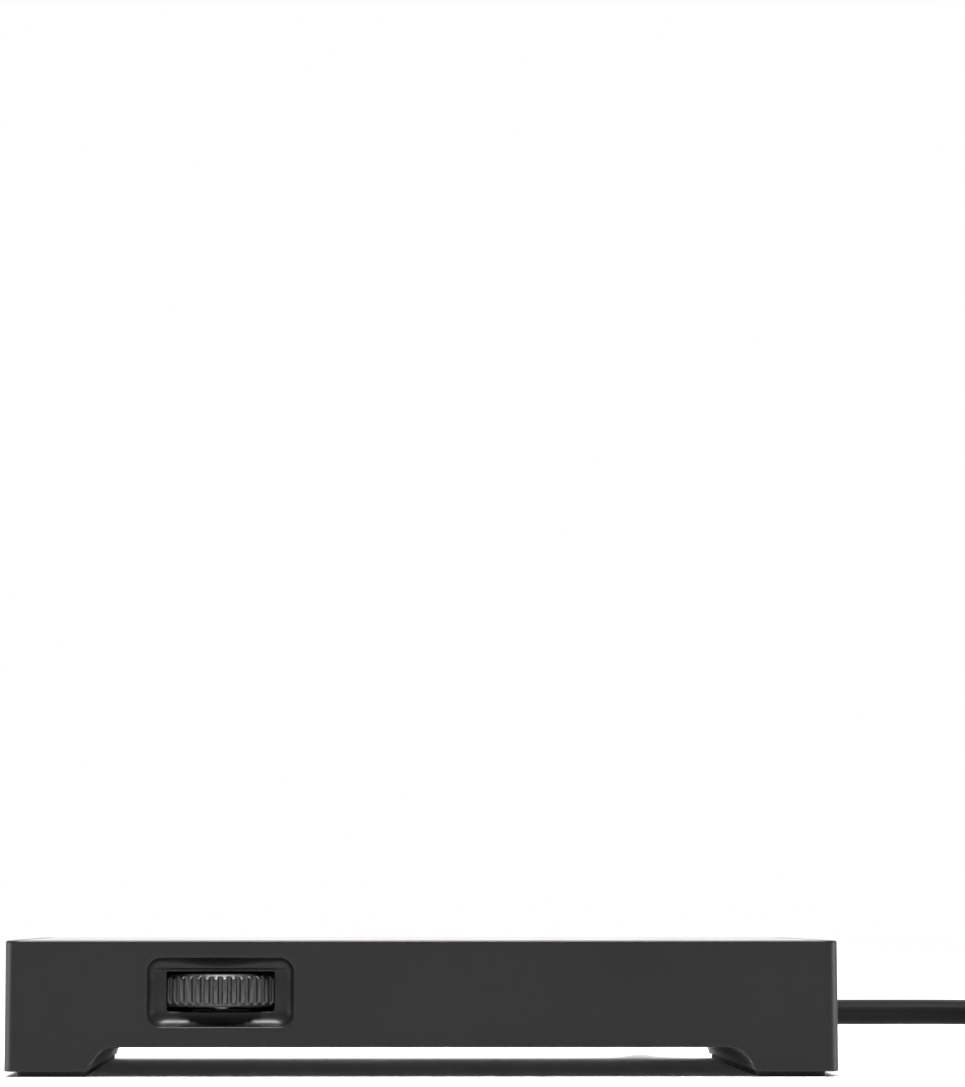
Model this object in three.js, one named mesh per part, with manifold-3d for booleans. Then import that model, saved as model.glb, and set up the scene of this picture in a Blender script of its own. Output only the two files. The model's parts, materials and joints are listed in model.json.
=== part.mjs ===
// Slim hot plate burner: a square painted case with a black glass top, a radiant heater under the glass,
// a thumbwheel that sets the heat, a small cooling fan, and a mains cord that leaves the back.
// Millimetres, +Z up. The front looks along -Y. The origin is on the table, under the middle of the case.
import * as THREE from "three";
import { mergeVertices } from "three/addons/utils/BufferGeometryUtils.js";
import Module from "manifold-3d";

const wasm = await Module();
wasm.setup();

// ---------------------------------------------------------------- driving dimensions
// Case
const caseWidth = 190;
const caseDepth = 190;
const caseHeight = 31; // table to the top of the glass
const caseLift = 1.2; // table to the lower edge of the walls
const caseCorner = 2.8; // radius of the upright corners
const draft = 0.28; // the walls lean in by this much from bottom to top
const wall = 2.2;
const rimWidth = 2;
const ledgeWidth = 3;
const ledgeThickness = 2.2;
const innerCorner = 0.6;
const legWidth = 18.8; // side of the case to the tunnel between the legs
const tunnelHeight = 6.7; // also the radius of the tunnel's upper corners
// Glass and its seal
const glassThickness = 4;
const glassGap = 0.25;
const glassCorner = 1.6;
const sealThickness = 0.4;
const sealWidth = 2.4;
// Base plate and feet
const plateThickness = 1;
const plateGap = 0.3;
const stripThickness = 1.4;
const stripInset = 0.3;
const stripCorner = 1.2;
// Screws, and the posts that take them
const screwRadius = 1.5;
const screwHoleGap = 0.1;
const headRadius = 2.7;
const headHeight = 1.6;
const baseScrewLength = 8;
const basePostRadius = 3.2;
const basePostFromSide = 7;
const basePostFromEnd = 47;
const webThickness = 2;
const boardPostRadius = 2.5;
// Rear vents and base vents
const ventCount = 13;
const ventPitch = 4.6;
const ventWidth = 2.3;
const ventHeight = 9.2;
const ventX = -8; // middle of the row
const ventLift = 8; // floor to the middle of a vent
const fanSlotCount = 5;
const fanSlotPitch = 4.8;
const fanSlotMargin = 2.5;
const sideSlotCount = 6;
const sideSlotPitch = 7;
const sideSlotLength = 26;
const sideSlotX = 38;
const slotWidth = 2.5;
// Thumbwheel
const wheelRadius = 17.4;
const wheelThickness = 7.6;
const wheelRibs = 52;
const ribDepth = 0.75;
const ribTopShare = 0.38; // share of a rib's pitch that is its flat top
const ribSlopeShare = 0.18; // share of a rib's pitch that is each of its slopes
const wheelRimWall = 2.6;
const wheelHubWall = 2.2;
const wheelDish = 2.4;
const wheelFromLeft = 49.1; // side of the case to the wheel's axis
const wheelBelowTop = 11.4; // top of the case to the middle of the wheel
const wheelProud = 1.25; // how far the wheel stands out of the front face
const wheelAir = 0.5; // between the wheel's rim and the case
// The window that the wheel shows through, and the finger scoop round it
const windowSideGap = 0.95;
const windowTopGap = 1.05;
const scoopDepth = 2.95;
const scoopMarginX = 4.35; // from the window to the scoop's mouth
const scoopMarginTop = 2.6;
const scoopMarginBottom = 3.4;
const scoopCorner = 3.2;
const scoopWall = 1.9; // the case's thickness behind the scoop
const scoopSteps = 4;
// Potentiometer under the wheel, and its board
const shaftRadius = 3;
const shaftGap = 0.08; // running clearance in the potentiometer
const hubGap = 0.1;
const shaftBelowWheelTop = 0.4;
const shaftAboveBoard = 1.2;
const potWidth = 13;
const potHeight = 4.65;
const potGap = 0.55;
const wheelBoardThickness = 1.2;
const wheelBoardGap = 0.8;
const wheelPostFromAxis = 13.4; // across and backwards, to each of the wheel board's posts
const ribbonCableWidth = 8;
const ribbonCableThickness = 1;
// Heater
const heaterGap = 3; // pan to the nearest thing in a corner of the case
const panThickness = 0.8;
const panBelowGlass = 1.5;
const slabThickness = 5;
const collarThickness = 7;
const collarGap = 0.2;
const glassTouchGap = 0.1; // under the glass, for what nearly touches it
const ribbonBelowGlass = 4.6;
const ribbonThickness = 1;
const ribbonHeight = 4.4;
const ribbonPitch = 6.2;
const ribbonInnerRadius = 15;
const ribbonEdgeGap = 4.5;
const ribbonStepsPerTurn = 18;
const leadSlotWidth = 9.4;
const leadSlotHeight = 5;
const heaterBlock = { gap: 0.4, depth: 6, width: 16, height: 7, drop: 1.5 };
const heaterWell = { radius: 1.1, spacing: 8, depth: 4 };
const leafThickness = 0.5;
const leafWidth = 8;
const leafSpan = 24;
const leafCount = 3;
const leafFromRim = 19.5;
const sensorRadius = 3;
const sensorThickness = 1.1;
const springRadius = 2.1;
const springWire = 0.3;
const springPitch = 2.1;
const springStepsPerTurn = 8;
// Cooling fan
const fanSize = 30;
const fanThickness = 9.6;
const fanWallGap = 1.3;
const fanCorner = 2;
const fanFrameWall = 1.1;
const fanHubRadius = 7.5;
const fanBladeCount = 7;
const fanBladeThickness = 0.9;
const fanBladeTwist = 0.75; // radians
const fanTipGap = 0.6;
const fanArmCount = 3;
const fanArmWidth = 1.8;
const fanArmThickness = 1.4;
const fanScrewInset = 3;
// Power board and what stands on it: x and y are from the board's front left corner
const boardThickness = 1.6;
const powerBoardWidth = 41;
const powerBoardDepth = 38;
const boardWallGap = 1.8;
const powerBoardLift = 3.3;
const boardHoleInset = 4;
const filmCapacitor = { x: 9, y: 5, width: 18, depth: 7, height: 10 };
const triac = { x: 12, y: 21.4, width: 10, depth: 3.2, height: 9.5 };
const heatsink = { x: 7, y: 25, width: 20, depth: 9, height: 10.5, back: 2.4 };
const heatsinkSlot = { count: 4, width: 2.6, pitch: 4.6 };
const reservoirCapacitor = { x: 33.5, y: 8, radius: 4, height: 10.5 };
const choke = { x: 33.5, y: 20, radius: 4.4, waist: 3.2, flange: 1.4, slope: 0.8, height: 8.2 };
// Mains inlet
const terminalBlock = { width: 24, depth: 12, height: 10, offsetX: -2 };
const terminalWell = { radius: 1.9, spacing: 7.5, depth: 4 };
const clampWidth = 22;
const clampLength = 7;
const clampBarThickness = 2;
const clampSplit = 0.6;
const clampScrewInset = 2.9;
const clampScrewLength = 9;
const cordPastClamp = 1.5;
const coreRoom = 7.8; // cord's end to the terminal block
// Wires
const wireRadius = 0.9;
const wireGap = 0.4;
const wireStraight = 1.4; // how far a wire runs straight out of what it leaves
const laneFromTunnel = 3.4;
const lanePitch = 2.6;
const laneLift = 3.6;
const laneRunIn = 14; // how far before the lane a wire starts to bend into it
const supplyRunInShare = 0.6; // the supply wires' run-in, as a share of how far they cross to their lane
// Mains cord and its strain relief
const cordDiameter = 6.6;
const cordExitX = 58;
const cordGap = 0.3; // between the cord's solids, and between them and what they meet
const boreGap = 0.15;
const bootLength = 26;
const bootNeckWall = 1.25;
const bootCollarWall = 1.5;
const bootCollarLength = 3;
const bootRootWall = 2.3;
const bootTipWall = 1;
const bootFlangeThickness = 1.8;
const bootGrooves = 4;
const bootGrooveDepth = 0.6;
const bootGrooveWidth = 1.6;
// Spare cord, coiled and tied, and the plug on its end
const coilX = 190;
const coilY = 119;
const turnRadius = 33; // of the inner turns' middle
const turnPitch = 6.8;
const bundleRound = 1.8;
const tieWidth = 11;
const tieThickness = 0.6;
const tieTurn = -2.07; // radians
const plugLength = 32;
const plugWidth = 27;
const plugHeight = 24;
const plugRound = 6;
const plugTaper = 22;
const plugTaperRadius = 7;
const plugLeadLength = 36;
const bladeSpacing = 12.7;
const bladeThickness = 1.5;
const bladeHeight = 6.3;
const bladeLength = 16;
const bladeRoot = 8; // how deep the pins are set in the plug
const bladeBelowAxis = 4.5;
const earthPinRadius = 2.4;
const earthPinLength = 18;
const earthPinFromBlades = 11.9;
// The free cord leaves the strain relief backwards, bends to the right, and runs level to the coil.
const leadOutRoute = [
  [58, 121.3, 14.4],
  [58.2, 126, 14.2],
  [60.2, 133, 13.4],
  [64.8, 140, 12.5],
  [72, 146.5, 11.7],
  [81, 151.8, 11.2],
  [91, 155.4, 11],
  [102, 157.5, 10.9],
  [114, 158.5, 10.9],
  [127, 158.8, 10.9],
  [140, 158.8, 10.9],
  [153, 158.8, 10.8],
  [166, 158.8, 10.8],
];
// Modelling allowances
const past = 1; // how far a cutting tool runs past a face
const rooted = 0.4; // how deep joined pieces run into each other
const partGap = 0.3; // between pieces that rest on each other

// ---------------------------------------------------------------- sizes worked out from those
const halfW = caseWidth / 2;
const halfD = caseDepth / 2;
const innerW = halfW - wall;
const innerD = halfD - wall;
const front = -halfD;
const glassBottom = caseHeight - glassThickness;
const ledgeTop = glassBottom - sealThickness;
const ledgeBottom = ledgeTop - ledgeThickness;
const tunnelHalf = halfW - legWidth;
const tunnelArcX = tunnelHalf - tunnelHeight; // the upper corners' arcs are centred here, on the table
const legFloor = stripThickness + plateThickness;
const floor = tunnelHeight + plateThickness;
const plateW = innerW - plateGap;
const plateD = innerD - plateGap;
const basePostX = halfW - basePostFromSide;
const basePostY = halfD - basePostFromEnd;

const wheelX = -halfW + wheelFromLeft;
const wheelY = front + wheelRadius - wheelProud;
const wheelZ = caseHeight - wheelBelowTop;
const wheelBottom = wheelZ - wheelThickness / 2;
const wheelTop = wheelZ + wheelThickness / 2;
const scoopFloor = front + scoopDepth;
const windowHalfW = Math.sqrt(wheelRadius ** 2 - (wheelY - scoopFloor) ** 2) + windowSideGap;
const windowHalfH = wheelThickness / 2 + windowTopGap;
const potTop = wheelBottom - potGap;
const wheelBoardTop = potTop - potHeight;
const wheelBoardBottom = wheelBoardTop - wheelBoardThickness;
const wheelBoardFront = scoopFloor + scoopWall + wheelBoardGap;
const wheelBoardRear = wheelY + wheelRadius;
const wheelBoardLeft = wheelX - wheelRadius;
const wheelBoardRight = wheelX + wheelRadius;

const fanX = -tunnelArcX + fanSize / 2;
const fanY = plateD - fanWallGap - fanSize / 2;
const fanBottom = floor + partGap;
const fanTop = fanBottom + fanThickness;
const fanBore = fanSize / 2 - fanFrameWall;

const boardRight = innerW - boardWallGap;
const boardLeft = boardRight - powerBoardWidth;
const boardFront = -innerD + boardWallGap;
const boardRear = boardFront + powerBoardDepth;
const boardBottom = floor + powerBoardLift;
const boardTop = boardBottom + boardThickness;

const cordRadius = cordDiameter / 2;
const boreRadius = cordRadius + boreGap;
const neckRadius = boreRadius + bootNeckWall;
const bootCollarRadius = neckRadius + bootCollarWall;
const cordExitZ = floor + bootCollarRadius + rooted;
const collarFront = innerD - partGap - bootCollarLength;
const clampY = collarFront - clampLength / 2 - 4 * partGap;
const clampTop = cordExitZ + cordRadius + clampBarThickness;
const clampScrewX = clampWidth / 2 - clampScrewInset;
const cordEnd = clampY - clampLength / 2 - cordPastClamp;
const blockX = cordExitX + terminalBlock.offsetX;
const blockRear = cordEnd - coreRoom;
const blockFront = blockRear - terminalBlock.depth;
const blockBottom = floor + partGap;
const blockTop = blockBottom + terminalBlock.height;
const bootTip = halfD + bootLength;

// The heater's pan is as wide as the nearest corner part lets it be.
const panRadius =
  Math.min(
    Math.hypot(wheelX, wheelY) - wheelRadius,
    Math.hypot(fanX + fanSize / 2, fanY - fanSize / 2),
    Math.hypot(boardLeft, boardRear),
    Math.hypot(blockX - terminalBlock.width / 2, blockFront),
  ) - heaterGap;
const panTop = glassBottom - panBelowGlass;
const slabTop = glassBottom - ribbonBelowGlass - ribbonHeight;
const panBottom = slabTop - slabThickness - panThickness;
const collarTop = glassBottom - glassTouchGap;
const collarOuter = panRadius - panThickness - collarGap;
const collarInner = collarOuter - collarThickness;
const heaterBlockX = panRadius + heaterBlock.gap;
const heaterBlockBottom = slabTop - heaterBlock.drop;
const heaterBlockTop = heaterBlockBottom + heaterBlock.height;

// ---------------------------------------------------------------- materials
const finish = (color, roughness, metalness) =>
  new THREE.MeshStandardMaterial({ color, roughness, metalness });
const materials = {
  casePaint: finish(0x383839, 0.55, 0.3),
  blackGlass: finish(0x0b0b0c, 0.06, 0),
  silicone: finish(0x5a5a5a, 0.8, 0),
  baseSteel: finish(0x454647, 0.6, 0.5),
  rubber: finish(0x161616, 0.9, 0),
  steel: finish(0xb4b6b8, 0.35, 1),
  mineralBoard: finish(0xd9d2c4, 0.95, 0),
  ceramic: finish(0xece6da, 0.5, 0),
  heatingAlloy: finish(0x8a4a2c, 0.6, 0.6),
  wheelPlastic: finish(0x2c2c2d, 0.45, 0),
  blackPlastic: finish(0x1b1b1c, 0.5, 0),
  board: finish(0x1f5b38, 0.55, 0),
  cordJacket: finish(0x17181a, 0.5, 0),
  brass: finish(0xc6a257, 0.3, 1),
  aluminium: finish(0xa9acb0, 0.4, 1),
  bluePlastic: finish(0x2a4f8f, 0.45, 0),
  yellowPlastic: finish(0xc9a534, 0.5, 0),
  greyPlastic: finish(0xb9b7b0, 0.55, 0),
  brownWire: finish(0x6b4326, 0.5, 0),
  blueWire: finish(0x2f5fa8, 0.5, 0),
  earthWire: finish(0x7f9a2e, 0.5, 0),
  redWire: finish(0x96281f, 0.5, 0),
};

// ---------------------------------------------------------------- helpers
const part = new THREE.Group();

/** A named mesh, added to the part. */
function add(name, geometry, material) {
  const mesh = new THREE.Mesh(geometry, material);
  mesh.name = name;
  part.add(mesh);
}

/** A closed geometry as a manifold solid. */
function solid(geometry) {
  const bare = geometry.index ? geometry.toNonIndexed() : geometry.clone();
  bare.deleteAttribute("normal");
  bare.deleteAttribute("uv");
  const merged = mergeVertices(bare, 1e-4);
  return new wasm.Manifold(
    new wasm.Mesh({
      numProp: 3,
      vertProperties: merged.attributes.position.array,
      triVerts: new Uint32Array(merged.index.array),
    }),
  );
}

/** A manifold solid as a geometry. */
function geometryOf(made) {
  const mesh = made.getMesh();
  const geometry = new THREE.BufferGeometry();
  geometry.setAttribute("position", new THREE.BufferAttribute(mesh.vertProperties, 3));
  geometry.setIndex(new THREE.BufferAttribute(mesh.triVerts, 1));
  return geometry;
}

/** The base with each of more joined on. */
function join(base, ...more) {
  return geometryOf(more.reduce((made, next) => made.add(solid(next)), solid(base)));
}

/** The base with each of the tools cut out of it. */
function cut(base, ...tools) {
  return geometryOf(tools.reduce((made, next) => made.subtract(solid(next)), solid(base)));
}

/** A rectangle with round corners, centred on x, y. */
function roundRect(halfX, halfY, radius, x = 0, y = 0) {
  const shape = new THREE.Shape();
  const r = Math.min(radius, halfX, halfY);
  shape.absarc(x + halfX - r, y + halfY - r, r, 0, Math.PI / 2);
  shape.absarc(x - halfX + r, y + halfY - r, r, Math.PI / 2, Math.PI);
  shape.absarc(x - halfX + r, y - halfY + r, r, Math.PI, 1.5 * Math.PI);
  shape.absarc(x + halfX - r, y - halfY + r, r, 1.5 * Math.PI, 2 * Math.PI);
  shape.closePath();
  return shape;
}

/** A shape in X and Y, standing from z = bottom to z = top. */
function upright(shape, bottom, top, curveSegments = 2) {
  const options = { depth: top - bottom, bevelEnabled: false, curveSegments };
  return new THREE.ExtrudeGeometry(shape, options).translate(0, 0, bottom);
}

/** A shape in X and Z, lying from y = near to y = far. */
function lengthwise(shape, near, far, curveSegments = 2, steps = 1) {
  const options = { depth: far - near, bevelEnabled: false, curveSegments, steps };
  return new THREE.ExtrudeGeometry(shape, options).rotateX(Math.PI / 2).translate(0, far, 0);
}

/** A box between two corners. */
function block(x0, y0, z0, x1, y1, z1) {
  const box = new THREE.BoxGeometry(x1 - x0, y1 - y0, z1 - z0);
  return box.translate((x0 + x1) / 2, (y0 + y1) / 2, (z0 + z1) / 2);
}

/** An upright cylinder. */
function post(x, y, radius, bottom, top, sides = 16) {
  const made = new THREE.CylinderGeometry(radius, radius, top - bottom, sides).rotateX(Math.PI / 2);
  return made.translate(x, y, (bottom + top) / 2);
}

/** An upright hole for a screw, from z = bottom to z = top. */
function screwHole(x, y, bottom, top) {
  return post(x, y, screwRadius + screwHoleGap, bottom, top, 12);
}

/** A turned solid: rows of [radius, height] round the Z axis, bottom to top on the outside. */
function turned(rows, sides = 32) {
  return new THREE.LatheGeometry(rows.map(([r, h]) => new THREE.Vector2(r, h)), sides).rotateX(Math.PI / 2);
}

/** A slot with round ends that runs along X, cut through the raised floor. */
function floorSlot(x, y, length) {
  const shape = roundRect(length / 2, slotWidth / 2, slotWidth / 2, x, y);
  return upright(shape, tunnelHeight - past, floor + past, 1);
}

/** A round section carried along a smooth curve through points. */
function tube(points, radius, steps, sides = 8) {
  const path = new THREE.CatmullRomCurve3(points.map((p) => new THREE.Vector3(...p)), false, "centripetal");
  const section = new THREE.Shape();
  for (let i = 0; i < sides; i += 1) {
    const angle = (2 * Math.PI * i) / sides;
    const to = [radius * Math.cos(angle), radius * Math.sin(angle)];
    if (i === 0) section.moveTo(...to);
    else section.lineTo(...to);
  }
  section.closePath();
  return new THREE.ExtrudeGeometry(section, { steps, extrudePath: path, bevelEnabled: false });
}

/** A bent strip's outline in X and Z: its lower line, and the same line raised by its thickness. */
function strip(points, thickness) {
  const shape = new THREE.Shape();
  points.forEach(([x, z], i) => (i ? shape.lineTo(x, z) : shape.moveTo(x, z)));
  [...points].reverse().forEach(([x, z]) => shape.lineTo(x, z + thickness));
  shape.closePath();
  return shape;
}

/** Moves each vertex as change(vector) says. */
function reshape(geometry, change) {
  const at = geometry.attributes.position;
  const v = new THREE.Vector3();
  for (let i = 0; i < at.count; i += 1) {
    change(v.fromBufferAttribute(at, i));
    at.setXYZ(i, v.x, v.y, v.z);
  }
  return geometry;
}

/** A pan head screw driven down: its head stands on the seat, its thread goes below it. */
function screw(x, y, seat, length) {
  const rows = [
    [0, seat - length],
    [screwRadius, seat - length],
    [screwRadius, seat],
    [headRadius, seat],
    [headRadius, seat + headHeight / 2],
    [headRadius - headHeight / 2, seat + headHeight],
    [0, seat + headHeight],
  ];
  return turned(rows, 12).translate(x, y, 0);
}

/** The four base screws' places: where, x and y. */
const basePosts = [
  ["front_left", -basePostX, -basePostY],
  ["front_right", basePostX, -basePostY],
  ["rear_left", -basePostX, basePostY],
  ["rear_right", basePostX, basePostY],
];

/** Evenly spaced places about zero. */
function row(count, pitch) {
  return Array.from({ length: count }, (_, i) => (i - (count - 1) / 2) * pitch);
}

/** A solid made round Z, turned so that its axis lies along Y where the cord leaves. */
function aroundCord(geometry) {
  return geometry.rotateX(-Math.PI / 2).translate(cordExitX, 0, cordExitZ);
}

// ---------------------------------------------------------------- case
/** The tunnel between the legs: open at the table, with round upper corners. */
function tunnelShape() {
  const shape = new THREE.Shape();
  shape.moveTo(-tunnelHalf, -past);
  shape.lineTo(tunnelHalf, -past);
  shape.absarc(tunnelArcX, 0, tunnelHeight, 0, Math.PI / 2);
  shape.absarc(-tunnelArcX, 0, tunnelHeight, Math.PI / 2, Math.PI);
  shape.closePath();
  return shape;
}

/** The finger scoop: wide at the front face, closing in a hollow curve to the window. */
function makeScoop() {
  const mouthHalfX = windowHalfW + scoopMarginX;
  const mouthHalfZ = windowHalfH + (scoopMarginTop + scoopMarginBottom) / 2;
  const mouthMiddle = wheelZ + (scoopMarginTop - scoopMarginBottom) / 2;
  const mouth = roundRect(mouthHalfX, mouthHalfZ, scoopCorner);
  return reshape(lengthwise(mouth, front - past, scoopFloor, 2, scoopSteps), (v) => {
    const inward = Math.max(0, (v.y - front) / scoopDepth);
    const closing = 1 - Math.sqrt(Math.max(0, 1 - inward ** 2));
    v.x = wheelX + v.x * (1 + closing * (windowHalfW / mouthHalfX - 1));
    const middle = mouthMiddle + closing * (wheelZ - mouthMiddle);
    v.z = middle + v.z * (1 + closing * (windowHalfH / mouthHalfZ - 1));
  });
}

/** The case's outside, its walls leaning in towards the top. */
function makeShell() {
  const middle = (caseLift + caseHeight) / 2;
  const straight = upright(roundRect(halfW, halfD, caseCorner), caseLift, caseHeight, 3);
  return reshape(straight, (v) => {
    const inwards = (draft * (v.z - middle)) / (caseHeight - caseLift);
    v.x *= 1 - inwards / halfW;
    v.y *= 1 - inwards / halfD;
  });
}

/** What thickens the case inside: the wall behind the scoop, and the base screws' posts with their webs. */
function makeInnerRibs() {
  const bossHalf = windowHalfW + scoopMarginX + scoopWall;
  const bossBottom = wheelZ - windowHalfH - scoopMarginBottom - scoopWall;
  const under = ledgeBottom + rooted;
  const ribs = [
    block(wheelX - bossHalf, -innerD - rooted, bossBottom, wheelX + bossHalf, scoopFloor + scoopWall, under),
  ];
  for (const [, x, y] of basePosts) {
    const outer = Math.sign(x) * (innerW + rooted);
    const web = [Math.min(x, outer), Math.max(x, outer)];
    ribs.push(post(x, y, basePostRadius, legFloor + partGap, under));
    ribs.push(
      block(web[0], y - webThickness / 2, legFloor + plateThickness, web[1], y + webThickness / 2, under),
    );
  }
  return ribs;
}

function makeHousing() {
  const room = upright(roundRect(innerW, innerD, innerCorner), caseLift - past, ledgeBottom);
  const opening = upright(
    roundRect(innerW - ledgeWidth, innerD - ledgeWidth, innerCorner), ledgeBottom - past, ledgeTop + past,
  );
  const pocket = upright(
    roundRect(halfW - rimWidth, halfD - rimWidth, glassCorner + glassGap), ledgeTop, caseHeight + past,
  );
  const body = join(cut(makeShell(), room, opening, pocket), ...makeInnerRibs());

  const windowFloor = wheelZ - windowHalfH;
  const windowRoof = wheelZ + windowHalfH;
  const tools = [
    makeScoop(),
    block(
      wheelX - windowHalfW, scoopFloor - rooted, windowFloor,
      wheelX + windowHalfW, scoopFloor + scoopWall + past, windowRoof,
    ),
    post(wheelX, wheelY, wheelRadius + wheelAir, windowFloor, windowRoof, 32),
    lengthwise(tunnelShape(), front - past, halfD + past, 3),
    aroundCord(post(0, 0, neckRadius + hubGap, innerD - past, halfD + past, 16)),
  ];
  for (const [, x, y] of basePosts) {
    tools.push(screwHole(x, y, legFloor, legFloor + baseScrewLength + 2 * past));
  }
  // Warm air leaves through upright slots in the rear wall.
  for (const dx of row(ventCount, ventPitch)) {
    const slot = roundRect(ventWidth / 2, ventHeight / 2, ventWidth / 2, ventX + dx, floor + ventLift);
    tools.push(lengthwise(slot, innerD - past, halfD + past, 1));
  }
  return cut(body, ...tools);
}

const glassHalfX = halfW - rimWidth - glassGap;
const glassHalfY = halfD - rimWidth - glassGap;

function makeSeal() {
  const shape = roundRect(glassHalfX, glassHalfY, glassCorner);
  shape.holes.push(roundRect(glassHalfX - sealWidth, glassHalfY - sealWidth, innerCorner));
  return upright(shape, ledgeTop, glassBottom);
}

add("housing", makeHousing(), materials.casePaint);
const glassShape = roundRect(glassHalfX, glassHalfY, glassCorner);
add("glass_top", upright(glassShape, glassBottom, caseHeight), materials.blackGlass);
add("glass_gasket", makeSeal(), materials.silicone);

// ---------------------------------------------------------------- base plate, its screws and the feet
const boardPosts = [boardFront + boardHoleInset, boardRear - boardHoleInset].map((y) => [
  boardLeft + boardHoleInset,
  y,
]);
const wheelBoardPosts = row(2, 2 * wheelPostFromAxis).map((dx) => [wheelX + dx, wheelY + wheelPostFromAxis]);

/** The base plate's section: a low strip under each leg, and a raised floor over the tunnel. */
function plateSection() {
  const shape = new THREE.Shape();
  const lower = Math.asin(stripThickness / tunnelHeight);
  const upper = Math.asin(legFloor / floor);
  shape.moveTo(-plateW, stripThickness);
  shape.absarc(-tunnelArcX, 0, tunnelHeight, Math.PI - lower, Math.PI / 2, true);
  shape.absarc(tunnelArcX, 0, tunnelHeight, Math.PI / 2, lower, true);
  shape.lineTo(plateW, stripThickness);
  shape.lineTo(plateW, legFloor);
  shape.absarc(tunnelArcX, 0, floor, upper, Math.PI / 2);
  shape.absarc(-tunnelArcX, 0, floor, Math.PI / 2, Math.PI - upper);
  shape.lineTo(-plateW, legFloor);
  shape.closePath();
  return shape;
}

const headSeat = stripThickness + 0.05; // a flat head sits this far inside the plate's underside

/** The rows of a cone that narrows from a flat head to a thread as it goes up through the plate. */
const headCone = (gap) => [
  [headRadius + gap, headSeat],
  [screwRadius + gap, legFloor],
];

/** The space in the plate for a flat head screw. */
function countersink(x, y) {
  const mouth = headRadius + screwHoleGap;
  const throat = screwRadius + screwHoleGap;
  const rows = [[0, headSeat - past], [mouth, headSeat - past], ...headCone(screwHoleGap)];
  rows.push([throat, legFloor + past], [0, legFloor + past]);
  return turned(rows, 12).translate(x, y, 0);
}

/** A flat head screw driven up through the plate into a post of the case. */
function baseScrew(x, y) {
  const tip = legFloor + baseScrewLength;
  return turned([[0, headSeat], ...headCone(0), [screwRadius, tip], [0, tip]], 12).translate(x, y, 0);
}

/** The lower half of the cord's clamp, which stands on the base plate. */
function makeSaddle() {
  return block(
    cordExitX - clampWidth / 2, clampY - clampLength / 2, floor - rooted,
    cordExitX + clampWidth / 2, clampY + clampLength / 2, cordExitZ - clampSplit / 2,
  );
}

/** The clamp's bore for the cord, and its two screw holes. */
function clampTools() {
  const bore = aroundCord(post(0, 0, boreRadius, clampY - clampLength, clampY + clampLength, 12));
  const screwHoles = row(2, 2 * clampScrewX).map((dx) =>
    screwHole(cordExitX + dx, clampY, floor + rooted, clampTop + past),
  );
  return [bore, ...screwHoles];
}

/** Cool air comes in under the fan, and under the heater in two blocks of slots. */
function makeBaseVents() {
  const slots = row(fanSlotCount, fanSlotPitch).map((dy) => {
    const reach = Math.sqrt((fanBore - fanSlotMargin + fanFrameWall) ** 2 - dy ** 2);
    return floorSlot(fanX, fanY + dy, 2 * reach);
  });
  for (const x of [-sideSlotX, sideSlotX]) {
    row(sideSlotCount, sideSlotPitch).forEach((y) => slots.push(floorSlot(x, y, sideSlotLength)));
  }
  return slots;
}

function makeBasePlate() {
  const floorAt = (x) => (Math.abs(x) > tunnelHalf ? legFloor : floor);
  const stands = [
    ...boardPosts.map(([x, y]) => post(x, y, boardPostRadius, floorAt(x) - rooted, boardBottom, 12)),
    ...wheelBoardPosts.map(([x, y]) =>
      post(x, y, boardPostRadius, floorAt(x) - rooted, wheelBoardBottom, 12),
    ),
  ];
  const holes = [
    ...boardPosts.map(([x, y]) => screwHole(x, y, floorAt(x) + screwHoleGap, boardTop)),
    ...wheelBoardPosts.map(([x, y]) => screwHole(x, y, floorAt(x) + screwHoleGap, wheelBoardTop)),
    ...basePosts.map(([, x, y]) => countersink(x, y)),
    ...makeBaseVents(),
    ...clampTools(),
  ];
  return cut(join(lengthwise(plateSection(), -plateD, plateD, 3), makeSaddle(), ...stands), ...holes);
}

add("base_plate", makeBasePlate(), materials.baseSteel);

const stripX = (tunnelHalf + plateW) / 2;
const stripHalfX = (plateW - tunnelHalf) / 2 - stripInset;
for (const [side, x] of [["left", -stripX], ["right", stripX]]) {
  const shape = roundRect(stripHalfX, plateD - stripInset, stripCorner, x, 0);
  add(`foot_strip_${side}`, upright(shape, 0, stripThickness), materials.rubber);
}
for (const [where, x, y] of basePosts) add(`base_screw_${where}`, baseScrew(x, y), materials.steel);

// ---------------------------------------------------------------- heater
function makePan() {
  const rows = [
    [0, panBottom],
    [panRadius, panBottom],
    [panRadius, panTop],
    [panRadius - panThickness, panTop],
    [panRadius - panThickness, panBottom + panThickness],
    [0, panBottom + panThickness],
  ];
  return cut(turned(rows, 36), makeLeadSlot(panRadius - panThickness - past, panRadius + past));
}

/** The slot through the pan and the insulation that the ribbon's two ends leave by. */
function makeLeadSlot(near, far) {
  return block(near, -leadSlotWidth / 2, slabTop, far, leadSlotWidth / 2, slabTop + leadSlotHeight);
}

function makeInsulation() {
  const rows = [
    [0, panBottom + panThickness],
    [collarOuter, panBottom + panThickness],
    [collarOuter, collarTop],
    [collarInner, collarTop],
    [collarInner, slabTop],
    [0, slabTop],
  ];
  return cut(turned(rows, 36), makeLeadSlot(collarInner - past, collarOuter + past));
}

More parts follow.
